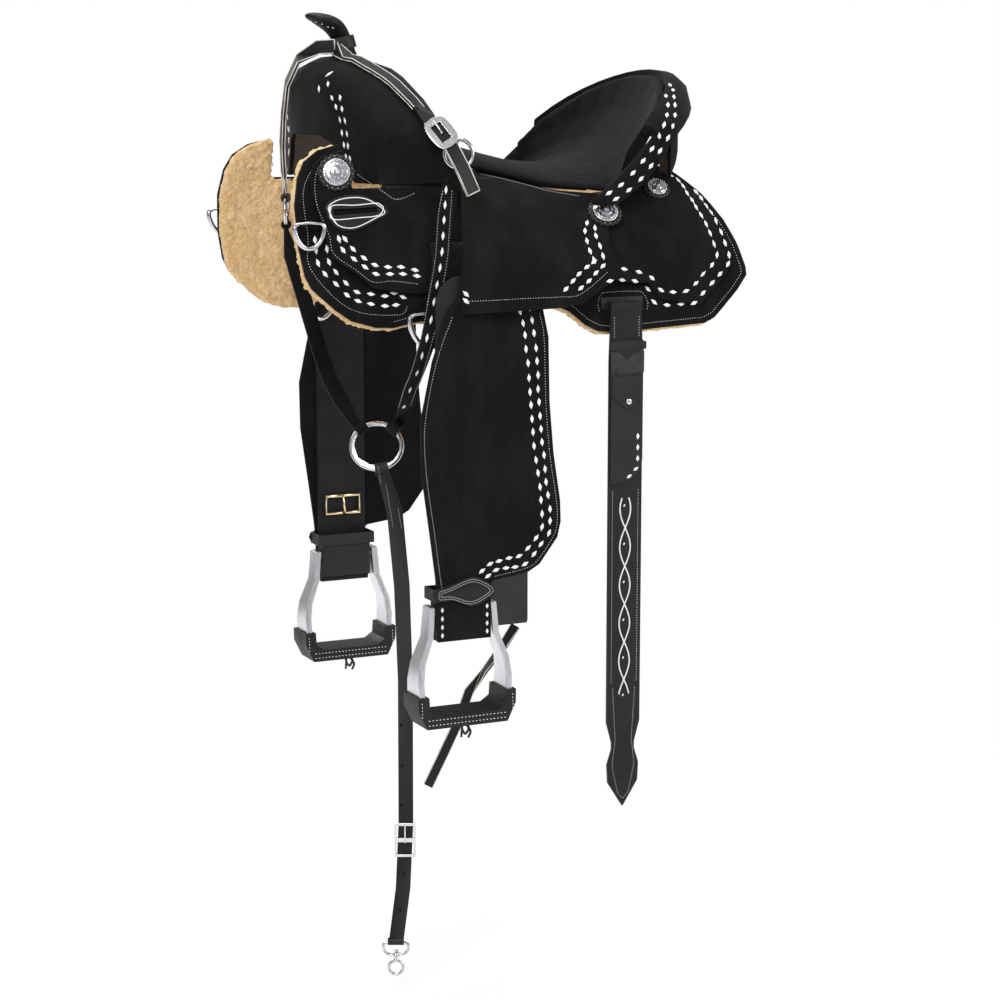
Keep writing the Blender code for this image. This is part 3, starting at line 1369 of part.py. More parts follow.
build_cantle()
build_fork()
build_horn()
build_billet_flap()
build_flank_cinch()
build_wither_strap()
build_wither_buckle()
build_breast_collar()
hang((BILLET_X, -BILLET_HINGE_Y, BILLET_HINGE_Z), "rear_billet_near", "rear_billet_flap_near")
hang((BILLET_X, BILLET_HINGE_Y, BILLET_HINGE_Z), "rear_billet_far", "flank_cinch",
     "flank_cinch_buckle", "cinch_connector_strap")
hang(on_centre_ring(282)[0], "centre_strap", "centre_strap_buckle")
hang(on_centre_strap(-0.2165, SNAP_BAR_Z), "centre_snap_loop", "centre_snap_hook")
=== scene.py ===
import json
import math

import bmesh
import bpy
from mathutils import Matrix, Vector, noise
from mathutils.bvhtree import BVHTree

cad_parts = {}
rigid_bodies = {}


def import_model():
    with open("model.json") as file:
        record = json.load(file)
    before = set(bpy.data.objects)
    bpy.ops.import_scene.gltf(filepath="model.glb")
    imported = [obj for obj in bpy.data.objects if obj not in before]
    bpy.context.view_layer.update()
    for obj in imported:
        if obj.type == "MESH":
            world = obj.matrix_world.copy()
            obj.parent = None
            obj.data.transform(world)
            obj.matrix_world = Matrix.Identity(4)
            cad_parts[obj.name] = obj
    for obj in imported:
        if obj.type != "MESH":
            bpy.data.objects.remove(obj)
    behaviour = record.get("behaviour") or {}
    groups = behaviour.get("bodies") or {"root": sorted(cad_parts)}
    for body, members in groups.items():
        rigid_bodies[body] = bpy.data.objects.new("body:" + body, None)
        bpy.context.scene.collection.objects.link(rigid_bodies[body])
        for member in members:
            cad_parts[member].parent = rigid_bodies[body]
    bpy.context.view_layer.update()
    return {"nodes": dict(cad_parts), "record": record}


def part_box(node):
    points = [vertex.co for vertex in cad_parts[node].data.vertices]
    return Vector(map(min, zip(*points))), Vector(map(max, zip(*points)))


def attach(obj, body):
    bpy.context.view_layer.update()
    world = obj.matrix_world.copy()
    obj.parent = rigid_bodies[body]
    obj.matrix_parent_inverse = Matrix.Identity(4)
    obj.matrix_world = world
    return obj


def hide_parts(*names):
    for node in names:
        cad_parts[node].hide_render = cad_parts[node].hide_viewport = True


for old in list(bpy.data.objects):
    bpy.data.objects.remove(old)
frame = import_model()
NODES = frame["nodes"]
SLOT_OF = {part["node"]: part["material_slot"] for part in frame["record"]["subparts"]}
SCENE = bpy.context.scene
SIDES = (("near", -1), ("far", 1))
SPLIT_GAP = 1e-5  # imported nodes have split vertices at their edges

# Camera, fitted to the photograph
AZIMUTH = math.radians(-25)
ELEVATION = math.radians(10)
TARGET = Vector((0, 0, -0.378))
DISTANCE = 3.55
LENS = 90.4
SENSOR = 36.0
PHOTO_SIDE = 1000  # pixels
FOCAL = LENS / SENSOR * PHOTO_SIDE  # in those pixels
BACK = Vector((
    math.sin(AZIMUTH) * math.cos(ELEVATION),
    -math.cos(AZIMUTH) * math.cos(ELEVATION),
    math.sin(ELEVATION),
))
EYE = TARGET + BACK * DISTANCE
RIGHT = Vector((math.cos(AZIMUTH), math.sin(AZIMUTH), 0))
UP = BACK.cross(RIGHT)
FLOOR_Z = -1.035
AMBIENT = 0.38  # the white surroundings' strength, except where the camera sees them
LAMP_AIM = Vector((0, 0, -0.3))
OUTSIDE_Y = 0.6  # outside the saddle, where rays from the side start
WORN_EDGE = (0.5, 0.62)  # pointiness where wear begins and is full
LACE_HIGH = 0.0009
THREAD_HIGH = 0.0005
ROW_BREAK = 0.045  # lace stitches further apart are of different rows
SWELL_FRAMES = 20

camera = bpy.data.objects.new("camera", bpy.data.cameras.new("camera"))
SCENE.collection.objects.link(camera)
camera.location = EYE
camera.rotation_mode = "QUATERNION"
camera.rotation_quaternion = (-BACK).to_track_quat("-Z", "Y")
camera.data.lens = LENS
camera.data.sensor_width = SENSOR
camera.data.clip_end = 50
SCENE.camera = camera
SCENE.view_settings.view_transform = "Standard"


# ---------------------------------------------------------------- materials
class Nodes:
    """Short forms for building one material's node tree."""

    def __init__(self, name, **sockets):
        self.material = bpy.data.materials.new(name)
        self.material.use_nodes = True
        self.tree = self.material.node_tree
        self.shader = self.tree.nodes["Principled BSDF"]
        for key, value in sockets.items():
            self.shader.inputs[key.replace("_", " ")].default_value = value
        self.place = self.tree.nodes.new("ShaderNodeTexCoord").outputs["Object"]

    def link(self, a, b):
        self.tree.links.new(a, b)

    def node(self, kind, **inputs):
        made = self.tree.nodes.new(kind)
        for key, value in inputs.items():
            socket = made.inputs[key.replace("_", " ")]
            if isinstance(value, bpy.types.NodeSocket):
                self.link(value, socket)
            else:
                socket.default_value = value
        return made

    def noise(self, scale, detail=4, rough=0.6, stretch=None):
        vector = self.place
        if stretch:
            vector = self.node("ShaderNodeMapping", Vector=self.place, Scale=stretch).outputs[0]
        return self.node(
            "ShaderNodeTexNoise", Vector=vector, Scale=scale, Detail=detail, Roughness=rough
        ).outputs["Fac"]

    def cells(self, scale):
        return self.node("ShaderNodeTexVoronoi", Vector=self.place, Scale=scale).outputs["Distance"]

    def ramp(self, factor, stops):
        made = self.node("ShaderNodeValToRGB", Fac=factor)
        band = made.color_ramp
        while len(band.elements) < len(stops):
            band.elements.new(0.5)
        for element, (at, colour) in zip(band.elements, stops):
            element.position = at
            element.color = (*colour, 1)
        return made.outputs["Color"]

    def mix(self, factor, a, b):
        made = self.tree.nodes.new("ShaderNodeMix")
        made.data_type = "RGBA"
        for socket, value in ((made.inputs[0], factor), (made.inputs[6], a), (made.inputs[7], b)):
            if isinstance(value, bpy.types.NodeSocket):
                self.link(value, socket)
            else:
                socket.default_value = (*value, 1)
        return made.outputs[2]

    def range(self, factor, low, high, start=0.0, end=1.0):
        made = self.node("ShaderNodeMapRange", Value=factor)
        for key, value in (("From Min", start), ("From Max", end),
                           ("To Min", low), ("To Max", high)):
            made.inputs[key].default_value = value
        return made.outputs[0]

    def edges(self):
        """Bright along worn convex edges."""
        pointiness = self.tree.nodes.new("ShaderNodeNewGeometry").outputs["Pointiness"]
        return self.range(pointiness, 0.0, 1.0, *WORN_EDGE)

    def colour(self, socket):
        self.link(socket, self.shader.inputs["Base Color"])

    def roughness(self, socket):
        self.link(socket, self.shader.inputs["Roughness"])

    def bumps(self, *layers):
        last = None
        for height, strength, distance in layers:
            bump = self.node("ShaderNodeBump", Strength=strength, Distance=distance, Height=height)
            if last is not None:
                self.link(last.outputs[0], bump.inputs["Normal"])
            last = bump
        self.link(last.outputs[0], self.shader.inputs["Normal"])


def suede():
    m = Nodes("suede_black", Sheen_Weight=0.06, Sheen_Roughness=0.45, Specular_IOR_Level=0.06)
    m.shader.inputs["Sheen Tint"].default_value = (0.62, 0.60, 0.62, 1)
    fine = m.noise(2600, 3, 0.7)
    nap = m.noise(420, 5, 0.65)
    brushed = m.noise(26, 4, 0.6, (1.0, 1.0, 0.45))
    base = m.ramp(nap, [(0.30, (0.0018, 0.0018, 0.0021)), (0.72, (0.0068, 0.0066, 0.0072))])
    stroked = m.mix(m.range(brushed, 0.0, 0.55, 0.42, 0.72), base, (0.0125, 0.0120, 0.0128))
    m.colour(m.mix(m.range(m.edges(), 0.0, 0.30), stroked, (0.026, 0.025, 0.025)))
    m.roughness(m.range(nap, 0.82, 0.98))
    m.bumps((brushed, 0.10, 0.004), (nap, 0.30, 0.0009), (fine, 0.35, 0.0003))
    return m.material


def bridle_leather(name, dark, light, gloss=0.42, edge=(0.05, 0.048, 0.048)):
    m = Nodes(name, Specular_IOR_Level=0.18, Coat_Weight=0.02, Coat_Roughness=0.25)
    grain = m.cells(1150)
    wide = m.noise(34, 5, 0.6)
    pores = m.noise(1900, 3, 0.7)
    base = m.mix(m.range(wide, 0.0, 1.0, 0.35, 0.68), dark, light)
    m.colour(m.mix(m.range(m.edges(), 0.0, 0.5), base, edge))
    m.roughness(m.range(wide, gloss, gloss + 0.22, 0.3, 0.7))
    m.bumps((wide, 0.08, 0.003), (grain, 0.22, 0.0004), (pores, 0.14, 0.0002))
    return m.material


def fleece():
    m = Nodes("sheepskin_tan", Sheen_Weight=0.45, Sheen_Roughness=0.6, Specular_IOR_Level=0.12)
    m.shader.inputs["Sheen Tint"].default_value = (1.0, 0.85, 0.62, 1)
    curls = m.noise(330, 6, 0.72)
    clumps = m.noise(75, 4, 0.6)
    patches = m.noise(9, 3, 0.5)
    wool = m.ramp(curls, [(0.30, (0.36, 0.20, 0.075)), (0.48, (0.66, 0.42, 0.19)),
                          (0.66, (0.86, 0.64, 0.36))])
    wool = m.mix(m.range(clumps, 0.0, 0.55, 0.40, 0.70), wool, (0.90, 0.70, 0.42))
    m.colour(m.mix(m.range(patches, 0.0, 0.35, 0.45, 0.75), wool, (0.52, 0.31, 0.13)))
    m.roughness(m.range(curls, 0.86, 1.0))
    m.bumps((clumps, 0.5, 0.006), (curls, 0.9, 0.0022), (m.noise(1500, 3), 0.4, 0.0005))
    return m.material


def thread():
    m = Nodes("thread_white", Specular_IOR_Level=0.3, Sheen_Weight=0.2)
    white = (0.78, 0.77, 0.74)
    fibre = m.noise(2400, 3, 0.7)
    m.colour(m.mix(m.range(fibre, 0.0, 0.5, 0.35, 0.75), white, [c * 0.72 for c in white]))
    m.roughness(m.range(fibre, 0.55, 0.85))
    m.bumps((fibre, 0.4, 0.0003))
    return m.material


def cut_edge():
    m = Nodes("cut_edge_pale", Specular_IOR_Level=0.3)
    fibre = m.noise(900, 4, 0.7)
    m.colour(m.mix(m.range(fibre, 0.0, 0.6, 0.35, 0.7), (0.66, 0.63, 0.58), (0.40, 0.37, 0.33)))
    m.roughness(m.range(fibre, 0.5, 0.8))
    m.bumps((fibre, 0.4, 0.0004))
    return m.material


def metal(name, colour, low, high, stretch=None, painted_dark_reflections=0.25):
    m = Nodes(name, Metallic=1.0)
    wide = m.noise(45, 4, 0.6)
    lines = m.noise(900, 3, 0.7, stretch)
    # painted dark reflections: the colour darkens towards 0.55 of itself in wide noise patches
    m.colour(m.mix(m.range(wide, 0.0, painted_dark_reflections, 0.45, 0.75), colour, [c * 0.55 for c in colour]))
    m.roughness(m.range(lines, low, high, 0.3, 0.7))
    m.bumps((lines, 0.10, 0.0003), (wide, 0.05, 0.002))
    return m.material


def wood():
    m = Nodes("tree_wood", Specular_IOR_Level=0.35)
    grain = m.noise(60, 5, 0.65, (0.15, 1.0, 1.0))
    m.colour(m.ramp(grain, [(0.3, (0.018, 0.012, 0.008)), (0.7, (0.050, 0.034, 0.022))]))
    m.roughness(m.range(grain, 0.45, 0.7))
    m.bumps((grain, 0.25, 0.001))
    return m.material


def crystal():
    m = Nodes("crystal", Specular_IOR_Level=0.9, IOR=1.9, Coat_Weight=0.6, Coat_Roughness=0.03)
    glints = m.cells(700)
    # painted glints and reflections: white spots at the cells' middles, near black between them
    m.colour(m.ramp(glints, [(0.15, (0.95, 0.96, 1.0)), (0.32, (0.30, 0.32, 0.36)),
                             (0.6, (0.02, 0.02, 0.03))]))
    m.roughness(m.range(glints, 0.03, 0.14))
    m.bumps((glints, 0.5, 0.0006))
    return m.material


SUEDE = suede()
LEATHER = bridle_leather("bridle_leather_black", (0.0025, 0.0025, 0.0030), (0.0070, 0.0068, 0.0074))
SHINY = bridle_leather("polished_leather", (0.010, 0.010, 0.012), (0.045, 0.045, 0.050), 0.24)
GREY = bridle_leather("greyed_leather", (0.012, 0.0125, 0.015), (0.026, 0.027, 0.031), 0.38)
TOOLED = bridle_leather("rosette_leather", (0.008, 0.008, 0.008), (0.018, 0.017, 0.017), 0.50)
SKIRTING = bridle_leather("skirting_leather", (0.020, 0.013, 0.009), (0.040, 0.026, 0.018), 0.5)
# near black, for the painted shade of punched holes
HOLE_SHADE = bridle_leather("painted_hole_shade", (0.001, 0.001, 0.001), (0.003, 0.003, 0.003), 0.8)
FLEECE = fleece()
THREAD = thread()
EDGE = cut_edge()
NICKEL = metal("nickel", (0.60, 0.60, 0.62), 0.14, 0.30)
ALUMINIUM = metal("brushed_aluminium", (0.62, 0.63, 0.65), 0.24, 0.44, (1.0, 1.0, 0.04), 0.18)
BRASS = metal("brass", (0.80, 0.66, 0.40), 0.16, 0.32)
WOOD = wood()
CRYSTAL = crystal()
FINISH_OF = {
    "suede": SUEDE, "smooth_leather": LEATHER, "sheepskin": FLEECE, "tree_wood": WOOD,
    "ground_seat_leather": SKIRTING, "aluminium": ALUMINIUM, "nickel": NICKEL,
}
GREY_NODES = ("flank_cinch",)


# ------------------------------------------------------------ rays on nodes
def tree_of(name):
    mesh = bmesh.new()
    mesh.from_mesh(NODES[name].data)
    bmesh.ops.remove_doubles(mesh, verts=mesh.verts, dist=SPLIT_GAP)
    made = BVHTree.FromBMesh(mesh)
    mesh.free()
    return made


def tree_from(made):
    """The same of a piece that this script made, with its modifiers."""
    graph = bpy.context.evaluated_depsgraph_get()
    graph.update()
    mesh = bmesh.new()
    mesh.from_object(made, graph)
    found = BVHTree.FromBMesh(mesh)
    mesh.free()
    return found


TREES = {name: tree_of(name) for name in NODES}


def cast(start, direction, names):
    """The nearest hit of a ray on the named nodes: place, normal, node."""
    best = None
    for name in names:
        place, normal, _, far = TREES[name].ray_cast(start, direction)
        if place is not None and (best is None or far < best[3]):
            best = (place, normal, name, far)
    return best


def pixel_ray(u, v):
    """The camera's direction through a pixel of the photograph."""
    half = PHOTO_SIDE / 2
    return (RIGHT * (u - half) + UP * (half - v) - BACK * FOCAL).normalized()


def seen(u, v, names):
    """Where the camera's ray through a pixel meets the named nodes."""
    return cast(EYE, pixel_ray(u, v), names)


def on_plane_y(u, v, y):
    """Where the camera's ray through a pixel crosses the plane of that y."""
    direction = pixel_ray(u, v)
    return EYE + direction * ((y - EYE.y) / direction.y)


def beside(x, z, side, names):
    """Where a level ray from the side meets the named nodes."""
    return cast(Vector((x, side * OUTSIDE_Y, z)), Vector((0, -side, 0)), names)


def flipped(vector):
    """The same on the saddle's other side."""
    return Vector((vector.x, -vector.y, vector.z))


# ------------------------------------------------------------ mesh builders
def smooth_faces(mesh, smooth=True):
    for face in mesh.polygons:
        face.use_smooth = smooth


def make(name, bm, material, body, smooth=True):
    mesh = bpy.data.meshes.new(name)
    bmesh.ops.recalc_face_normals(bm, faces=bm.faces)
    bm.to_mesh(mesh)
    bm.free()
    smooth_faces(mesh, smooth)
    mesh.materials.append(material)
    made = bpy.data.objects.new(name, mesh)
    SCENE.collection.objects.link(made)
    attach(made, body)
    return made


def modify(made, kind, **settings):
    """Adds a modifier with its settings."""
    added = made.modifiers.new(kind.lower(), kind)
    for key, value in settings.items():
        setattr(added, key, value)


def frame_of(along, out):
    """A matrix with X along, Z out."""
    out = out.normalized()
    along = (along - out * along.dot(out)).normalized()
    side = out.cross(along)
    return Matrix((along, side, out)).transposed()


def angles(count, start=0.0):
    return [2 * math.pi * (k + start) / count for k in range(count)]


def ellipse(middle, a, b, count):
    """Points round the middle, from its two half axes."""
    return [middle + a * math.cos(t) + b * math.sin(t) for t in angles(count)]


def skin(bm, rings, caps=(0, -1), closed=False):
    """Joins rings of vertices by quads, and closes the rings numbered in caps."""
    for a, b in zip(rings, rings[1:] + (rings[:1] if closed else [])):
        for k in range(len(a)):
            n = (k + 1) % len(a)
            bm.faces.new((a[k], a[n], b[n], b[k]))
    for end in caps:
        bm.faces.new(rings[end])


def loft(bm, rings, caps=(0, -1)):
    skin(bm, [[bm.verts.new(p) for p in ring] for ring in rings], caps)


def slab(bm, outline, y, thick, side):
    """An (x, z) outline made thick towards the side."""
    loft(bm, [[(x, y + side * more, z) for x, z in outline] for more in (0, thick)])


def add_stitch(bm, place, along, out, outline, levels):
    """A low stitch: its outline at each level, drawn in by shares of x and y."""
    turn = frame_of(along, out)
    loft(bm, [[place + turn @ Vector((x * by_x, y * by_y, z)) for x, y in outline]
              for by_x, by_y, z in levels])


def add_diamond(bm, place, along, out, long, wide):
    """One visible stitch of a flat white lace: a low faceted lozenge."""
    outline = [(long / 2, 0), (long * 0.06, wide / 2), (-long * 0.10, wide / 2),
               (-long / 2, 0), (-long * 0.06, -wide / 2), (long * 0.10, -wide / 2)]
    add_stitch(bm, place, along, out, outline,
               [(1, 1, -0.0008), (0.96, 0.92, LACE_HIGH * 0.45), (0.55, 0.5, LACE_HIGH)])


def add_dot(bm, place, along, out, long=0.0016, wide=0.0009):
    """One thread stitch: a small rounded bar."""
    outline = [(long / 2, 0), (long * 0.3, wide / 2), (-long * 0.3, wide / 2),
               (-long / 2, 0), (-long * 0.3, -wide / 2), (long * 0.3, -wide / 2)]
    add_stitch(bm, place, along, out, outline, [(1, 1, -0.0004), (0.7, 0.5, THREAD_HIGH)])


def diamonds_beside(bm, places, side, names, along, long, wide):
    """Lace stitches at (x, z) places of one side."""
    for x, z in places:
        hit = beside(x, z, side, names)
        if hit:
            add_diamond(bm, hit[0], Vector(along), hit[1], long, wide)


def tube_into(bm, points, radius, closed=False, sides=6):
    """A round cord along points, added to a mesh."""
    points = [Vector(p) for p in points]
    count = len(points)
    rings = []
    normal = None
    for k, p in enumerate(points):
        a = points[(k - 1) % count] if closed or k else p
        b = points[(k + 1) % count] if closed or k < count - 1 else p
        direction = (b - a).normalized()
        if normal is None:
            normal = direction.orthogonal().normalized()
        normal = (normal - direction * normal.dot(direction)).normalized()
        across = direction.cross(normal)
        r = radius(k / max(1, count - 1)) if callable(radius) else radius
        rings.append([bm.verts.new(q) for q in ellipse(p, normal * r, across * r, sides)])
    skin(bm, rings, () if closed else (0, -1), closed)


def walk(points, step):
    """Evenly spaced places with directions along a polyline."""
    points = [Vector(p) for p in points]
    found = []
    rest = step / 2
    for a, b in zip(points, points[1:]):
        length = (b - a).length
        at = rest
        while at < length:
            found.append((a.lerp(b, at / length), (b - a).normalized()))
            at += step
        rest = at - length
    return found


def rounded(points, steps=6):
    """Points on a smooth line through the given ones."""
    points = [Vector(p) for p in points]
    made = []
    for k in range(len(points) - 1):
        a = points[max(0, k - 1)]
        b, c = points[k], points[k + 1]
        d = points[min(len(points) - 1, k + 2)]
        for i in range(steps):
            t = i / steps
            made.append(0.5 * ((2 * b) + (c - a) * t + (2 * a - 5 * b + 4 * c - d) * t * t
                               + (3 * b - a - 3 * c + d) * t ** 3))
    made.append(points[-1])
    return made


class Stitches:
    """Collects the stitches that ride on one body and makes them one piece."""

    def __init__(self, name, body):
        self.name, self.body, self.mesh = name, body, bmesh.new()

    def laces(self, pixels, names, mirror=None, long=0.0120, wide=0.0052):
        """Lace diamonds at pixels of the photograph, and mirrored in another collection."""
        found = [seen(u, v, names) for u, v in pixels]
        for k, hit in enumerate(found):
            if hit is None:
                continue
            near = [found[i] for i in (k - 1, k + 1) if 0 <= i < len(found) and found[i]]
            near = [h for h in near if (h[0] - hit[0]).length < ROW_BREAK]
            if not near:
                continue
            along = (near[-1][0] if len(near) > 1 else hit[0]) - near[0][0]
            add_diamond(self.mesh, hit[0], along, hit[1], long, wide)
            if mirror is not None:
                add_diamond(mirror.mesh, flipped(hit[0]), flipped(along), flipped(hit[1]),
                            long, wide)

    def line(self, points, side, names, step=0.0036, smooth=False):
        """Thread stitches along (x, z) points, pressed on the side of the named nodes."""
        path = [(x, 0.0, z) for x, z in points]
        path = rounded(path, 5) if smooth else path
        for place, along in walk(path, step):
            hit = beside(place.x, place.z, side, names)
            if hit:
                add_dot(self.mesh, hit[0], along, hit[1])

    def seen_line(self, pixels, names, mirror=None, step=0.0036):
        """Thread stitches along pixels of the photograph."""
        path = [h[0] for h in (seen(u, v, names) for u, v in pixels) if h]
        if len(path) < 2:
            return
        for place, along in walk(rounded(path, 5), step):
            hit = cast(place + BACK * 0.2, -BACK, names)
            if hit is None:
                continue
            add_dot(self.mesh, hit[0], along, hit[1])
            if mirror is not None:
                add_dot(mirror.mesh, flipped(hit[0]), flipped(along), flipped(hit[1]))

    def done(self):
        return make(self.name, self.mesh, THREAD, self.body)


def inset_outline(points, by):
    """A closed (x, z) outline moved inwards."""
    count = len(points)
    area = sum(points[k][0] * points[(k + 1) % count][1] - points[(k + 1) % count][0] * points[k][1]
               for k in range(count))
    turn = 1 if area > 0 else -1
    made = []
    for k in range(count):
        a, b, c = (Vector(points[(k + d) % count]) for d in (-1, 0, 1))
        n1 = Vector((-(b - a).y, (b - a).x)).normalized() * turn
        n2 = Vector((-(c - b).y, (c - b).x)).normalized() * turn
        n = n1 + n2
        n = n.normalized() if n.length > 1e-6 else n1
        made.append(tuple(b + n * by / max(0.5, n.dot(n1))))
    return made


# --------------------------------------------------- finish of the CAD nodes
SOFT_EDGE = {"suede": 0.0012, "smooth_leather": 0.0009, "aluminium": 0.0016, "nickel": 0.0005,
             "sheepskin": 0.003, "tree_wood": 0.001, "ground_seat_leather": 0.001}
ROUND_NODES = ("collar_ring", "centre_ring", "front_dee", "cinch_dee", "snap_loop", "snap_hook")
for name, node in NODES.items():
    finish = GREY if name in GREY_NODES else FINISH_OF[SLOT_OF[name]]
    for holder in node.material_slots:
        holder.material = finish
    modify(node, "WELD", merge_threshold=2 * SPLIT_GAP)
    if any(word in name for word in ROUND_NODES):
        modify(node, "DECIMATE", decimate_type="DISSOLVE", angle_limit=math.radians(1))
        modify(node, "SUBSURF", levels=1, render_levels=1)
    else:
        modify(node, "BEVEL", width=SOFT_EDGE[SLOT_OF[name]], segments=2,
               limit_method="ANGLE", angle_limit=math.radians(38))
    modify(node, "WEIGHTED_NORMAL", keep_sharp=False, weight=60)
    smooth_faces(node.data)


# ------------------------------------------------------------ padded pieces
def remeshed(name, source, voxel):
    """A copy of a CAD node as an even mesh."""
    bm = bmesh.new()
    bm.from_mesh(NODES[source].data)
    bmesh.ops.remove_doubles(bm, verts=bm.verts, dist=SPLIT_GAP)
    mesh = bpy.data.meshes.new(name)
    bm.to_mesh(mesh)
    bm.free()
    made = bpy.data.objects.new(name, mesh)
    SCENE.collection.objects.link(made)
    modify(made, "REMESH", mode="VOXEL", voxel_size=voxel, use_smooth_shade=True)
    apply_modifiers(made)
    return made


def apply_modifiers(made):
    """Puts the result of the modifiers into the mesh."""
    graph = bpy.context.evaluated_depsgraph_get()
    graph.update()
    result = bpy.data.meshes.new_from_object(made.evaluated_get(graph))
    made.modifiers.clear()
    old = made.data
    made.data = result
    bpy.data.meshes.remove(old)


def swell(made, pressure, cap):
    """Lets an even mesh swell as a stuffed piece does, no point further than cap."""
    rest = [v.co.copy() for v in made.data.vertices]
    cloth = made.modifiers.new("stuffing", "CLOTH")
    cloth.settings.use_pressure = True
    cloth.settings.uniform_pressure_force = pressure
    cloth.settings.effector_weights.gravity = 0
    cloth.settings.tension_stiffness = 30
    cloth.settings.compression_stiffness = 30
    cloth.settings.quality = 5
    for f in range(1, SWELL_FRAMES + 1):
        SCENE.frame_set(f)
    apply_modifiers(made)
    SCENE.frame_set(1)
    for v, old in zip(made.data.vertices, rest):
        step = v.co - old
        if step.length > cap:
            v.co = old + step.normalized() * cap


SEAT_SEAM = [(467, 166), (485, 175), (524, 184), (550, 191), (579, 196)]
SEAT_VOXEL = 0.0028
SEAT_RISE = 0.0022  # above the pad's top, the most that any point may have
seat = remeshed("seat_cushion", "seat_pad", SEAT_VOXEL)
swell(seat, 4.0, 0.0026)
below = TREES["seat_pad"]
for v in seat.data.vertices:
    # the underside stays on the ground seat, and no point leaves the pad's room by much
    place, normal, _, _ = below.find_nearest(v.co)
    out = (v.co - place).dot(normal)
    allowed = SEAT_RISE if normal.z > 0.25 else 0.0
    if out > allowed:
        v.co -= normal * (out - allowed)
modify(seat, "SMOOTH", factor=0.5, iterations=14)
modify(seat, "SUBSURF", levels=1, render_levels=1)
seat.data.materials.clear()
seat.data.materials.append(SUEDE)
smooth_faces(seat.data)
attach(seat, "saddle")
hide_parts("seat_pad")

PILE_VOXEL = 0.0040
for tag, side in SIDES:
    pile = remeshed(f"sheepskin_pile_{tag}", f"sheepskin_{tag}", PILE_VOXEL)
    modify(pile, "SUBSURF", levels=1, render_levels=1)
    apply_modifiers(pile)
    seed = Vector((3.1 * side, 7.7, 1.3))
    straight_out = [v.normal.copy() for v in pile.data.vertices]
    for v, n in zip(pile.data.vertices, straight_out):
        # the wool stands out everywhere but on the face under the skirt
        room = max(0.0, min(1.0, (0.35 - n.y * side) / 0.6))
        tufts = noise.fractal(v.co * 190 + seed, 0.7, 2.1, 4)
        clumps = noise.noise(v.co * 62 + seed)
        v.co += n * (0.0021 * tufts + 0.0023 * clumps + 0.0010) * room
    pile.data.materials.clear()
    pile.data.materials.append(FLEECE)
    smooth_faces(pile.data)
    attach(pile, "saddle")
    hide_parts(f"sheepskin_{tag}")

# ---------------------------------------------- horn, roll ends, front laps
# back and front pixel of each section on the middle plane, and its half width
HORN_SECTIONS = [
    ((361, 62), (330, 62), 0.0170), ((356, 54), (334, 53), 0.0120),
    ((352, 42), (334, 45), 0.0112), ((349, 33), (331, 38), 0.0128),
    ((345, 26), (325, 31), 0.0170), ((340, 20), (320, 27), 0.0215),
    ((332, 15.5), (314, 23), 0.0225), ((324, 13.3), (310, 20.5), 0.0190),
    ((315, 12.2), (307, 18.5), 0.0130), ((309, 12.6), (305.5, 16.5), 0.0070),
    ((306, 13.6), (305.3, 15.2), 0.0025),
]
rings = []
for back, front, half in HORN_SECTIONS:
    a, b = on_plane_y(*back, 0.0), on_plane_y(*front, 0.0)
    rings.append(ellipse((a + b) / 2, (a - b) / 2, Vector((0, half, 0)), 24))
bm = bmesh.new()
loft(bm, rings)
horn = make("horn_leather", bm, LEATHER, "saddle")
modify(horn, "SUBSURF", levels=2, render_levels=2)
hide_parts("horn_cover", "tree_horn")
TREES[horn.name] = tree_from(horn)

# outer and inner pixel of each section of the cantle roll's end, and its y
ROLL_END = [
    ((676, 120), (661, 118), -0.186), ((674, 134), (656, 131), -0.190),
    ((668, 149), (644, 147), -0.194), ((658, 167), (630, 163), -0.197),
    ((648, 179), (616, 178), -0.199), ((635, 191), (604, 190), -0.200),
    ((622, 201), (594, 198), -0.199), ((612, 208), (588, 205), -0.195),
]
ROLL_TILT = 0.010
ROLL_OUT = Vector((-0.25, -1.0, 0.25)).normalized() * 0.0085
for tag, side in SIDES:
    rings = []
    for outer, inner, y in ROLL_END:
        a, b = on_plane_y(*outer, y), on_plane_y(*inner, y + ROLL_TILT)
        rings.append(ellipse((a + b) / 2, (a - b) / 2, ROLL_OUT, 20))
    if side == 1:
        rings = [[flipped(p) for p in ring] for ring in rings]
    bm = bmesh.new()
    loft(bm, rings)
    roll = make(f"cantle_roll_end_{tag}", bm, SUEDE, "saddle")
    modify(roll, "SUBSURF", levels=1, render_levels=1)
    TREES[roll.name] = tree_from(roll)

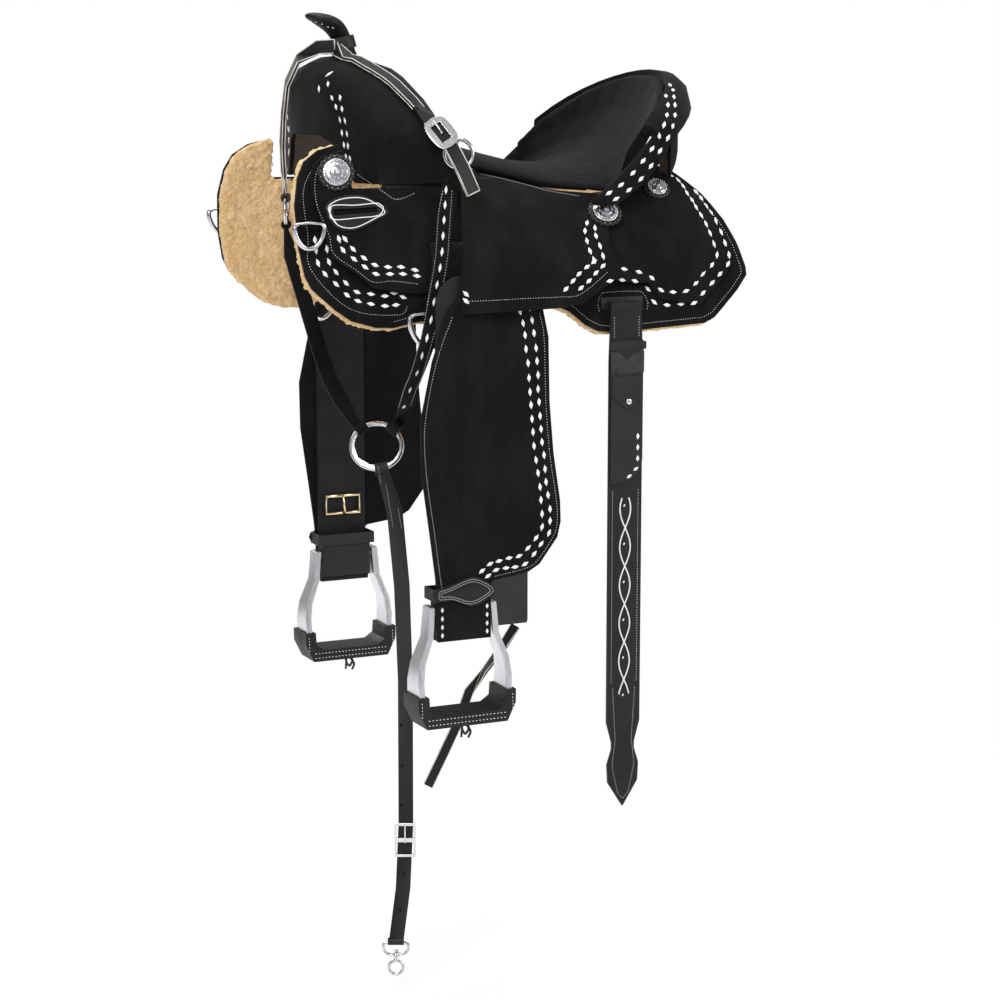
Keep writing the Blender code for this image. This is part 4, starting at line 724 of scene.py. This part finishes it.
LAP_ROWS, LAP_COLUMNS = 22, 10
LAP_REAR_X = -0.150
LAP_THICK = 0.0035
SLOT_BACKING = [(0.0495, -0.0925), (0.1125, -0.0925), (0.1125, -0.0755), (0.0495, -0.0755)]
for tag, side in SIDES:
    bm = bmesh.new()
    rings = []
    for i in range(LAP_ROWS):
        z = 0.072 - 0.0076 * i
        inner = beside(LAP_REAR_X, z, side, [f"side_jockey_{tag}"])
        if inner is None:
            continue
        row = []
        for j in range(LAP_COLUMNS):
            t = j / (LAP_COLUMNS - 1)
            x = -0.190 + 0.041 * t
            base = beside(x, z, side, [f"front_jockey_{tag}", f"skirt_{tag}"])
            y_low = (abs(base[0].y) if base else abs(inner[0].y) - 0.016) + 0.0042
            row.append((x, side * (y_low + (abs(inner[0].y) + 0.0002 - y_low) * t ** 3), z))
        under = [(x, y - side * LAP_THICK, z) for x, y, z in row[::-1]]
        rings.append([bm.verts.new(p) for p in row + under])
    skin(bm, rings, ())
    for ring in (rings[0], rings[-1]):
        for j in range(LAP_COLUMNS - 1):
            bm.faces.new((ring[j], ring[j + 1], ring[-2 - j], ring[-1 - j]))
    lap = make(f"side_jockey_lap_{tag}", bm, SUEDE, "saddle")
    TREES[lap.name] = tree_from(lap)

    bm = bmesh.new()
    level = beside(0.081, -0.084, side, [f"sheepskin_{tag}"])[0].y
    slab(bm, SLOT_BACKING, level + side * 0.0004, 0.0030, side)
    make(f"slot_backing_{tag}", bm, LEATHER, "saddle", False)


# ------------------------------------------------------------------ conchos
# shares of the radius and heights over the leather
ROSETTE = [(1.28, -0.001), (1.30, 0.0016), (1.22, 0.0026), (1.12, 0.0020), (1.05, 0.0026),
           (0.5, 0.0026)]
SILVER = [(0.96, 0.0020), (0.99, 0.0034), (0.94, 0.0046), (0.86, 0.0042), (0.78, 0.0052),
          (0.62, 0.0060), (0.52, 0.0056), (0.44, 0.0066), (0.2, 0.0074)]
# share, number, turn, size and height of each ring of crystals
GEMS = [(0.0, 1, 0.0, 0.26, 0.0070), (0.46, 8, 0.0, 0.125, 0.0060),
        (0.72, 14, 0.5, 0.095, 0.0052), (1.15, 18, 0.5, 0.045, 0.0026)]
CONCHOS = (("front", 0.018), ("seat", 0.018), ("rear", 0.014))


def concho(name, node, names, radius):
    """A silver concho set with crystals on a dark scalloped rosette."""
    low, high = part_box(node)
    middle = (low + high) / 2
    side = -1 if middle.y < 0 else 1
    place, out = beside(middle.x, middle.z, side, names)[:2]
    turn = frame_of(Vector((1, 0, 0)), out)

    def at(share, angle, height):
        r = radius * share
        return place + turn @ Vector((r * math.cos(angle), r * math.sin(angle), height + 0.0006))

    def bead(bm, centre, size):
        return bmesh.ops.create_icosphere(bm, subdivisions=1, radius=radius * size,
                                          matrix=Matrix.Translation(centre))["verts"]

    bm = bmesh.new()
    loft(bm, [[at(share * (1 + 0.045 * math.cos(18 * a) if share > 0.9 else 1), a, height)
               for a in angles(72)] for share, height in ROSETTE])
    make(name + "_rosette", bm, TOOLED, "saddle")
    bm = bmesh.new()
    loft(bm, [[at(share, a, height) for a in angles(48)] for share, height in SILVER])
    for a in angles(28):
        bead(bm, at(0.90, a, 0.0046), 0.075)
    silver = make(name, bm, NICKEL, "saddle")
    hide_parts(node)
    bm = bmesh.new()
    for share, count, start, size, height in GEMS:
        for a in angles(count, start):
            centre = at(share, a, height)
            for v in bead(bm, centre, size):
                v.co -= out * (v.co - centre).dot(out) * 0.35
    make(name + "_crystals", bm, CRYSTAL, "saddle", smooth=False)


for tag, side in SIDES:
    jockeys = [f"front_jockey_{tag}", f"rear_jockey_{tag}", f"side_jockey_{tag}"]
    for where, radius in CONCHOS:
        concho(f"concho_detail_{where}_{tag}", f"concho_{where}_{tag}", jockeys, radius)

# ------------------------------------------------- stitches of the saddle
SKIRT = [
    (-0.260, -0.105), (-0.236, -0.106), (-0.212, -0.100), (-0.186, -0.096), (-0.110, -0.084),
    (-0.020, -0.083), (0.003, -0.092), (0.024, -0.110), (0.042, -0.119), (0.067, -0.122),
    (0.124, -0.119), (0.202, -0.115), (0.218, -0.108), (0.256, -0.072), (0.272, -0.053),
    (0.272, -0.042), (0.264, -0.010), (0.252, 0.020), (0.232, 0.055), (0.208, 0.084),
]
near = Stitches("stitching_near", "saddle")
far = Stitches("stitching_far", "saddle")
LEATHERS = ["skirt_near", "front_jockey_near", "rear_jockey_near", "side_jockey_near",
            "side_jockey_lap_near"]
BUCK_ROWS = [
    [(315, 240), (316, 250), (318, 263), (325, 274), (336, 284), (347, 295), (358, 301), (371, 304),
     (385, 306), (396, 305)],
    [(327, 249), (329, 262), (336, 272), (346, 283), (357, 292), (371, 294), (385, 296), (394, 293),
     (403, 297)],
    [(339, 239), (343, 250), (354, 259), (365, 267), (376, 274), (390, 274), (403, 274),
     (417, 276)],
    [(345, 239), (353, 249), (364, 258), (375, 265), (388, 267), (401, 267), (415, 270)],
    [(624, 269), (639, 272), (652, 278), (661, 290), (673, 292), (686, 291), (696, 283), (703, 274),
     (712, 265), (717, 255), (714, 244), (710, 233), (706, 224), (701, 215), (696, 207), (692, 200),
     (687, 193), (683, 186), (678, 180), (670, 175)],
    [(610, 281), (622, 280), (635, 281), (648, 289), (654, 302), (667, 305), (681, 304), (694, 303),
     (703, 293), (712, 283), (720, 274), (728, 264), (729, 255), (725, 243), (721, 232), (716, 221),
     (711, 213), (706, 206), (701, 198), (696, 192), (692, 185), (687, 178), (683, 173)],
    [(587, 223), (585, 231), (587, 241), (590, 251), (594, 260)],
    [(595, 228), (596, 236), (600, 246), (603, 256)],
    [(594, 262), (587, 267), (579, 274), (573, 281), (566, 289)],
    [(603, 266), (596, 273), (589, 281), (581, 288)],
    [(455, 286), (466, 294)],
    [(454, 294), (466, 301)],
]
for row in BUCK_ROWS:
    near.laces(row, LEATHERS, far)
FORK_ROWS = [
    [(332, 98), (336, 107), (340, 120), (342, 133), (344, 145), (346, 157)],
    [(340, 98), (342, 109), (345, 121), (347, 134), (348, 146), (350, 159)],
]
for row in FORK_ROWS:
    near.laces(row, ["fork_cover", "front_jockey_near"], far, 0.0100, 0.0046)
ROLL_ROWS = [
    [(663, 87), (666, 96), (668, 105), (667, 115), (664, 125), (659, 137), (652, 149), (643, 161),
     (633, 173), (621, 185), (609, 193)],
    [(670, 85), (673, 90), (674, 97), (675, 105), (675, 115), (673, 126), (668, 138), (660, 151),
     (651, 166), (641, 179), (629, 190), (616, 199)],
]
for row in ROLL_ROWS:
    near.laces(row, ["cantle_roll", "cantle_roll_end_near", "side_jockey_near",
                     "rear_jockey_near"], far)
SKIRT_SEAM_INSET = 0.008
for stitches, (tag, side) in zip((near, far), SIDES):
    stitches.line(inset_outline(SKIRT, SKIRT_SEAM_INSET)[1:-1], side, [f"skirt_{tag}"])
near.seen_line([(342, 149), (317, 161), (308, 177), (303, 196), (308, 237), (311, 270), (350, 309),
                (398, 315), (407, 307)], ["skirt_near"], far)
near.seen_line([(330, 156), (319, 167), (315, 181), (317, 205), (329, 235), (334, 254), (356, 270),
                (373, 282), (392, 281), (419, 284)], ["front_jockey_near", "skirt_near"], far)
near.seen_line([(443, 303), (480, 301), (537, 298), (560, 297), (581, 294), (609, 271)],
               ["side_jockey_near", "side_jockey_lap_near", "rear_jockey_near"], far)
near.seen_line([(357, 174), (372, 187), (389, 196), (400, 199), (415, 193)],
               ["fork_cover", "front_jockey_near"], far)
near.seen_line(SEAT_SEAM, ["seat_pad", "side_jockey_near"], far)
near.done()
far.done()

# ---------------------------------------------------------- latigo keepers
KEEPER = [
    (-0.324, 0.050), (-0.313, 0.026), (-0.290, 0.021), (-0.260, 0.033), (-0.242, 0.044),
    (-0.264, 0.061), (-0.283, 0.066), (-0.308, 0.063),
]
KEEPER_SLOT = [(-0.313, 0.049), (-0.313, 0.039), (-0.285, 0.040), (-0.258, 0.043), (-0.256, 0.051),
               (-0.285, 0.050)]
for tag, side in SIDES:
    bm = bmesh.new()
    for outline, by in ((KEEPER, 0.0035), (KEEPER_SLOT, -0.0030)):
        path = inset_outline(outline, by)
        path = rounded([(x, 0, z) for x, z in path + path[:2]])
        hits = [beside(p.x, p.z, side, [f"latigo_keeper_{tag}"]) for p in path]
        points = [hit[0] + hit[1] * 0.0003 for hit in hits if hit]
        if len(points) > 3:
            tube_into(bm, points, 0.00065)
    make(f"latigo_keeper_stitch_{tag}", bm, THREAD, "saddle")

# ------------------------------------------------------------------ fenders
FENDER_LINE = [
    (-0.172, -0.090), (-0.195, -0.149), (-0.211, -0.226), (-0.210, -0.291), (-0.199, -0.370),
    (-0.191, -0.430), (-0.1885, -0.445),
]
FENDER_REAR = [
    (-0.048, -0.090), (-0.041, -0.124), (-0.038, -0.210), (-0.032, -0.278), (-0.022, -0.342),
    (-0.021, -0.369), (-0.026, -0.388), (-0.050, -0.420), (-0.068, -0.429), (-0.112, -0.436),
]
FENDER_BUCKS = [
    [(520, 311), (523, 323), (525, 335), (526, 349), (528, 363), (529, 378), (530, 392), (531, 405),
     (532, 419), (533, 432), (534, 446), (536, 460), (538, 473), (540, 487), (541, 500), (542, 514),
     (542, 527), (536, 538), (528, 548), (519, 556), (509, 558), (499, 561), (490, 564),
     (482, 571)],
    [(529, 307), (532, 320), (534, 333), (536, 348), (537, 361), (538, 375), (538, 389), (539, 402),
     (540, 416), (541, 429), (542, 442), (544, 455), (545, 469), (546, 482), (548, 495), (550, 509),
     (550, 521), (549, 533), (541, 544), (534, 554), (525, 564), (515, 567), (506, 568), (496, 570),
     (488, 576)],
]
# the stitched leaf of the hobble strap, and the laces below it
LEAF = [(-0.193, -0.449), (-0.178, -0.446), (-0.148, -0.4365), (-0.128, -0.443),
        (-0.116, -0.4535), (-0.128, -0.463), (-0.149, -0.4695), (-0.175, -0.4605),
        (-0.193, -0.4595)]
WRAP_LACES = [(x, z) for x in (-0.188, -0.1235) for z in (-0.4750, -0.4865, -0.4980, -0.5090)]
fender = {tag: Stitches(f"fender_stitching_{tag}", f"fender_{tag}") for tag, side in SIDES}
for row in FENDER_BUCKS:
    fender["near"].laces(row, ["fender_near"], fender["far"])
for tag, side in SIDES:
    for path in (FENDER_LINE, FENDER_REAR):
        fender[tag].line(path, side, [f"fender_{tag}"], smooth=True)
    diamonds_beside(fender[tag].mesh, WRAP_LACES, side,
                    [f"fender_{tag}", f"hobble_strap_{tag}"], (0, 0, 1), 0.0075, 0.0040)
    for by in (0.0, 0.0030):
        path = inset_outline(LEAF, by)
        fender[tag].line(path + path[:1], side, [f"hobble_strap_{tag}"], 0.0026, True)
    fender[tag].done()

# ---------------------------------------------------------------- stirrups
STIRRUP_X = -0.156
BAR_Y = 0.2082
# from the middle of the tread's underside
KNOT = [(-0.006, -0.022, 0.004), (-0.008, -0.0245, -0.003), (-0.002, -0.022, -0.012),
        (0.004, -0.020, -0.004), (-0.004, -0.018, -0.001), (-0.006, -0.018, -0.017)]
KNOT_END = [(0.002, -0.020, -0.002), (0.006, -0.021, -0.010), (0.003, -0.020, -0.018)]


def tread_dot(bm, tread, x, z, y, face, along, long, wide):
    """A thread stitch on the front or the back of a tread."""
    hit = cast(Vector((x, y + face * 0.2, z)), Vector((0, -face, 0)), [tread])
    if hit:
        add_dot(bm, hit[0], along, hit[1], long, wide)


for tag, side in SIDES:
    bm = bmesh.new()
    tread = f"stirrup_tread_{tag}"
    y = side * BAR_Y
    for face in (-1, 1):
        for z in (-0.6195, -0.6262):
            for place, along in walk([(STIRRUP_X + d, 0, z) for d in (-0.058, 0.058)], 0.0052):
                tread_dot(bm, tread, place.x, z, y, face, along, 0.0030, 0.0012)
        for sign in (-1, 1):
            for k in range(6):
                tread_dot(bm, tread, STIRRUP_X + sign * 0.0655, -0.596 - 0.0045 * k, y, face,
                          Vector((0, 0, 1)), 0.0026, 0.0011)
    make(f"tread_stitches_{tag}", bm, THREAD, f"stirrup_{tag}")
    # the lacing drawn tight under the tread, tied in the middle
    bm = bmesh.new()
    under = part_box(tread)[0].z
    for k in range(9):
        x = STIRRUP_X - 0.048 + 0.0115 * k
        points = [(x + 0.009 * t / 6, y + (t / 6 - 0.5) * 0.044,
                   under + 0.0006 - 0.0008 * math.sin(math.pi * t / 6)) for t in range(7)]
        tube_into(bm, points, 0.0013)
        tube_into(bm, [(2 * STIRRUP_X - p[0], p[1], p[2] - 0.0008) for p in points], 0.0013)
    for ends in (KNOT, KNOT_END):
        points = [(STIRRUP_X + dx, y + dy, under + dz) for dx, dy, dz in ends]
        tube_into(bm, rounded(points, 5), 0.0017)
    make(f"tread_lacing_{tag}", bm, LEATHER, f"stirrup_{tag}")

# ----------------------------------------------------------- rear billets
BILLET_X = 0.081
# distances from the billet's middle line, and heights, round its lower end
BILLET_TIP = [(-0.017, -0.606), (-0.0125, -0.680), (-0.017, -0.716), (-0.008, -0.756),
              (0, -0.764), (0.008, -0.756), (0.017, -0.716), (0.0125, -0.680), (0.017, -0.606)]
STRAND_TOP, STRAND_FOOT = -0.345, -0.617
STRAND_STEPS = 30  # in each half turn of the crossing strands
for tag, side in SIDES:
    billet = [f"rear_billet_{tag}"]
    rows = Stitches(f"billet_stitches_{tag}", billet[0])
    foot = -0.600 if tag == "near" else -0.408
    for dx in (-0.0185, 0.0185):
        rows.line([(BILLET_X + dx, -0.100), (BILLET_X + dx, -0.128)], side, billet)
        rows.line([(BILLET_X + dx * 1.05, z) for z in (-0.334, foot)], side, billet)
    if tag == "near":
        rows.line([(BILLET_X + dx, z) for dx, z in BILLET_TIP], side, billet)
        over = billet + ["rear_billet_flap_near"]
        diamonds_beside(rows.mesh, [(BILLET_X + 0.0165, z) for z in (-0.262, -0.277, -0.292)],
                        side, over, (0, 0, 1), 0.0095, 0.0045)
        diamonds_beside(rows.mesh, [(BILLET_X + 0.014, -0.306), (BILLET_X + 0.004, -0.3155)],
                        side, over, (1, 0, 0.6), 0.0095, 0.0045)
        # two strands of lace crossing between the holes
        for strand in (1, -1):
            points = []
            for k in range(181):
                z = STRAND_TOP - 0.0525 * k / STRAND_STEPS
                turn = math.pi * (k / STRAND_STEPS + 0.21)
                if z < STRAND_FOOT:
                    break
                hit = beside(BILLET_X + strand * 0.0080 * math.sin(turn), z, side, billet)
                if hit:
                    lift = 0.0004 + 0.0003 * strand * math.cos(turn)
                    points.append(hit[0] + hit[1] * lift)
            tube_into(rows.mesh, points, 0.00095)
    rows.done()

# the slot's frame on each skirt
SLOT_FRAME = [
    (0.046, -0.094), (0.044, -0.084), (0.050, -0.072), (0.060, -0.069), (0.102, -0.069),
    (0.112, -0.072), (0.118, -0.084), (0.116, -0.094),
]
for tag, side in SIDES:
    rows = Stitches(f"slot_stitches_{tag}", "saddle")
    rows.line(SLOT_FRAME, side, [f"skirt_{tag}", f"rear_jockey_{tag}"], smooth=True)
    rows.done()

# the leather keeper with its pointed tongue, the fold under it and the rivet:
# name, material, depth in the flap, thickness, rounding, outline
BILLET_SLABS = [
    ("billet_keeper", LEATHER, 0.0012, 0.0034, 0.0009,
     [(0.0545, -0.134), (0.1085, -0.134), (0.1085, -0.144), (0.092, -0.148), (0.081, -0.158),
      (0.070, -0.148), (0.0545, -0.144)]),
    ("billet_turn_back", SHINY, 0.0008, 0.0016, 0.0007,
     [(0.0560, -0.146), (0.1060, -0.146), (0.1060, -0.176), (0.0560, -0.176)]),
    ("billet_pointed_flap", LEATHER, 0.0008, 0.0022, 0.0008,
     [(0.0585, -0.180), (0.1035, -0.180), (0.1035, -0.208), (0.081, -0.226), (0.0585, -0.208)]),
]
RIVET = [(0.0042, -0.0004), (0.0044, 0.0006), (0.0036, 0.0015), (0.0020, 0.0021),
         (0.0006, 0.0023)]
flap_y = beside(BILLET_X, -0.150, -1, ["rear_billet_flap_near"])[0].y
for name, material, depth, thick, edge, outline in BILLET_SLABS:
    bm = bmesh.new()
    slab(bm, outline, flap_y + depth, thick, -1)
    piece = make(name, bm, material, "rear_billet_near", False)
    modify(piece, "BEVEL", width=edge, segments=2)
bm = bmesh.new()
loft(bm, [ellipse(Vector((0.083, flap_y - 0.0014 - h, -0.214)), Vector((r, 0, 0)),
                  Vector((0, 0, r)), 20) for r, h in RIVET], (-1,))
make("billet_rivet", bm, NICKEL, "rear_billet_near")

# ---------------------------------------------------------- breast collar
ARM_STITCHES = [
    (446, 190), (445, 205), (444, 220), (443, 236), (442, 252), (440, 268), (437, 285), (434, 302),
    (431, 320), (427, 338), (422, 356), (417, 373), (410, 390), (404, 407),
]
collar = Stitches("collar_stitches", "saddle")
collar.laces(ARM_STITCHES, ["breast_arm_near"], None, 0.0125, 0.0042)
for dx in (-6, 6):
    pixels = []
    for u, v in ARM_STITCHES:
        for shrink in (1.0, 0.85, 0.7, 0.5):
            if seen(u + dx * shrink, v, ["breast_arm_near"]):
                pixels.append((u + dx * shrink, v))
                break
    collar.seen_line(pixels, ["breast_arm_near"], step=0.0038)
collar.done()
centre = Stitches("centre_strap_stitches", "centre_strap")
for pixels in ([(378, 466), (381, 485), (385, 507), (388, 528)],
               [(391, 463), (394, 485), (398, 508), (402, 530)],
               [(383, 462), (386, 485), (390, 508), (393, 528)]):
    centre.seen_line(pixels, ["centre_strap"])
centre.done()


# -------------------------------------------------- pale cut edges of straps
def edge_lines(name, node, body, shortest, radius):
    """A pale line along the long outer edges of a strap."""
    bm = bmesh.new()
    source = bmesh.new()
    source.from_mesh(NODES[node].data)
    bmesh.ops.remove_doubles(source, verts=source.verts, dist=SPLIT_GAP)
    bmesh.ops.dissolve_limit(source, angle_limit=math.radians(2), verts=source.verts,
                             edges=source.edges)
    for edge in source.edges:
        sharp = len(edge.link_faces) == 2 and edge.calc_face_angle(0) >= math.radians(60)
        if sharp and edge.calc_length() >= shortest:
            tube_into(bm, [v.co.copy() for v in edge.verts], radius, sides=5)
    source.free()
    make(name, bm, EDGE, body)


edge_lines("wither_strap_edges", "wither_strap", "saddle", 0.010, 0.0008)
edge_lines("connector_strap_edges", "cinch_connector_strap", "rear_billet_far", 0.020, 0.0007)


# ------------------------------------------------------------ small fittings
def prong(name, body, start, end, lift, radius=0.0016):
    """A buckle's tongue, rolled round its bar and lying on the far bar."""
    along = (end - start).normalized()
    bm = bmesh.new()
    curl = [start - along * 0.002 - lift * 0.0022, start - along * 0.0032,
            start - along * 0.002 + lift * 0.0022]
    path = curl + [start.lerp(end, 0.3) + lift * 0.0026, end + lift * 0.0020]
    tube_into(bm, rounded(path), lambda t: radius * (1.15 - 0.35 * t), sides=8)
    make(name, bm, NICKEL, body)


def middle_of(node):
    low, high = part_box(node)
    return (low + high) / 2


strap_along = (Vector((-0.147, -0.201, 0.098)) - Vector((-0.179, -0.171, 0.158))).normalized()
strap_out = Vector((-0.30, -0.86, 0.42))
strap_out = (strap_out - strap_along * strap_out.dot(strap_along)).normalized()
middle = middle_of("wither_buckle_near")
prong("wither_buckle_prong", "saddle", middle - strap_along * 0.002,
      middle - strap_along * 0.0185, strap_out)
middle = middle_of("centre_strap_buckle")
prong("centre_buckle_prong", "centre_strap", middle, middle + Vector((0, 0, 0.0215)),
      Vector((-0.423, -0.906, 0.0)).normalized(), 0.0014)
middle = middle_of("flank_cinch_buckle")
prong("flank_buckle_prong", "rear_billet_far", middle + Vector((0, 0.002, 0.018)),
      middle + Vector((0, 0.002, -0.019)), Vector((0, 1, 0)), 0.0018)


def holes(node, body, pixels, along, long, wide):
    """Dark discs just over a strap at its punched holes: painted shade of the holes."""
    bm = bmesh.new()
    for u, v in pixels:
        hit = seen(u, v, [node])
        if hit:
            turn = frame_of(along, hit[1])
            rim = ellipse(hit[0] + hit[1] * 0.00025, turn.col[0] * long, turn.col[1] * wide, 14)
            bm.faces.new([bm.verts.new(p) for p in rim])
    make(node + "_holes", bm, HOLE_SHADE, body, smooth=False)


holes("wither_strap", "saddle", ((408, 98), (417, 108), (432, 130)), strap_along, 0.0019, 0.0019)
holes("centre_strap", "centre_strap", ((402, 766), (401, 805), (404, 874), (400, 910), (401, 725)),
      Vector((0, 0, 1)), 0.0024, 0.0017)

# white lace bar and stitches under the horn, and on its forward beak
GULLET_LACES = [((329, 74), RIGHT * 12 + UP * 8, 0.0130, 0.0040),
                ((319, 89), RIGHT * 2 - UP * 9, 0.0105, 0.0042),
                ((328, 84), RIGHT * 2 - UP * 9, 0.0105, 0.0042)]
HORN_DOTS = [(311, 21), (316, 22), (322, 24), (328, 27), (333, 28)]
bm = bmesh.new()
for pixel, along, long, wide in GULLET_LACES:
    hit = seen(*pixel, ["fork_cover"])
    if hit:
        add_diamond(bm, hit[0], along, hit[1], long, wide)
for pixel in HORN_DOTS:
    hit = seen(*pixel, ["horn_leather"])
    if hit:
        add_dot(bm, hit[0], RIGHT, hit[1], 0.0032, 0.0016)
make("horn_and_gullet_laces", bm, THREAD, "saddle")

# ----------------------------------------- buckles of the stirrup leathers
LEATHER_BUCKLE = Vector((STIRRUP_X, 0.2105, -0.405))
BUCKLE_FRAME = [(-0.026, 0, 0.012), (0.026, 0, 0.012), (0.026, 0, -0.014), (-0.026, 0, -0.014)]
BUCKLE_TONGUE = [(0, -0.002, 0.014), (0.002, -0.004, -0.016)]
for tag, side in SIDES[::-1]:
    wires = []
    for wire in (BUCKLE_FRAME, BUCKLE_TONGUE):
        points = [LEATHER_BUCKLE + Vector(p) for p in wire]
        wires.append(points if side == 1 else [flipped(p) for p in points])
    bm = bmesh.new()
    tube_into(bm, wires[0], 0.0026, True, 8)
    tube_into(bm, wires[1], 0.0018)
    make(f"stirrup_leather_buckle_{tag}", bm, BRASS, f"fender_{tag}")

# ----------------------------------------------------------- floor and light
bm = bmesh.new()
bmesh.ops.create_grid(bm, x_segments=4, y_segments=4, size=30)
for v in bm.verts:
    v.co.z = FLOOR_Z
mesh = bpy.data.meshes.new("floor")
bm.to_mesh(mesh)
bm.free()
floor = bpy.data.objects.new("floor", mesh)
SCENE.collection.objects.link(floor)
paint = Nodes("floor_white", Specular_IOR_Level=0.1, Roughness=0.95)
PALE = 0.86
grain = paint.range(paint.noise(2.0, 2, 0.5), 0.0, 0.02)
paint.colour(paint.mix(grain, (PALE,) * 3, (PALE * 0.98,) * 3))
# the camera sees it glow, fully from 2.2 m away, so that no horizon shows
away = paint.node("ShaderNodeVectorMath", Vector=paint.place)
away.operation = "LENGTH"
glowing = paint.node("ShaderNodeMath")
glowing.operation = "MULTIPLY"
paint.link(paint.node("ShaderNodeLightPath").outputs["Is Camera Ray"], glowing.inputs[0])
paint.link(paint.range(away.outputs["Value"], 0.84, 1.0, 1.1, 2.2), glowing.inputs[1])
blend = paint.node("ShaderNodeMixShader")
glow = paint.node("ShaderNodeEmission", Color=(1, 1, 1, 1))
for k, source in enumerate((glowing, paint.shader, glow)):
    paint.link(source.outputs[0], blend.inputs[k])
paint.link(blend.outputs[0], paint.tree.nodes["Material Output"].inputs["Surface"])
mesh.materials.append(paint.material)

world = bpy.data.worlds.new("studio")
SCENE.world = world
world.use_nodes = True
tree = world.node_tree
background = tree.nodes["Background"]
path = tree.nodes.new("ShaderNodeLightPath")
any_ray = tree.nodes.new("ShaderNodeMath")
any_ray.operation = "MAXIMUM"
tree.links.new(path.outputs["Is Camera Ray"], any_ray.inputs[0])
tree.links.new(path.outputs["Is Transmission Ray"], any_ray.inputs[1])
strength = tree.nodes.new("ShaderNodeMapRange")
strength.inputs["To Min"].default_value = AMBIENT
strength.inputs["To Max"].default_value = 1.0
tree.links.new(any_ray.outputs[0], strength.inputs["Value"])
tree.links.new(strength.outputs[0], background.inputs["Strength"])
background.inputs["Color"].default_value = (1, 1, 1, 1)


def lamp(name, place, size, power):
    data = bpy.data.lights.new(name, "AREA")
    data.shape = "DISK"
    data.size = size
    data.energy = power
    made = bpy.data.objects.new(name, data)
    SCENE.collection.objects.link(made)
    made.location = place
    made.rotation_mode = "QUATERNION"
    made.rotation_quaternion = (LAMP_AIM - Vector(place)).to_track_quat("-Z", "Y")


lamp("key", (-2.2, -3.0, 2.6), 2.2, 150)
lamp("fill", (2.8, -2.6, 1.2), 2.4, 70)
lamp("top", (0.2, 0.6, 3.4), 2.6, 90)
lamp("back", (-0.6, 3.2, 1.6), 2.4, 70)
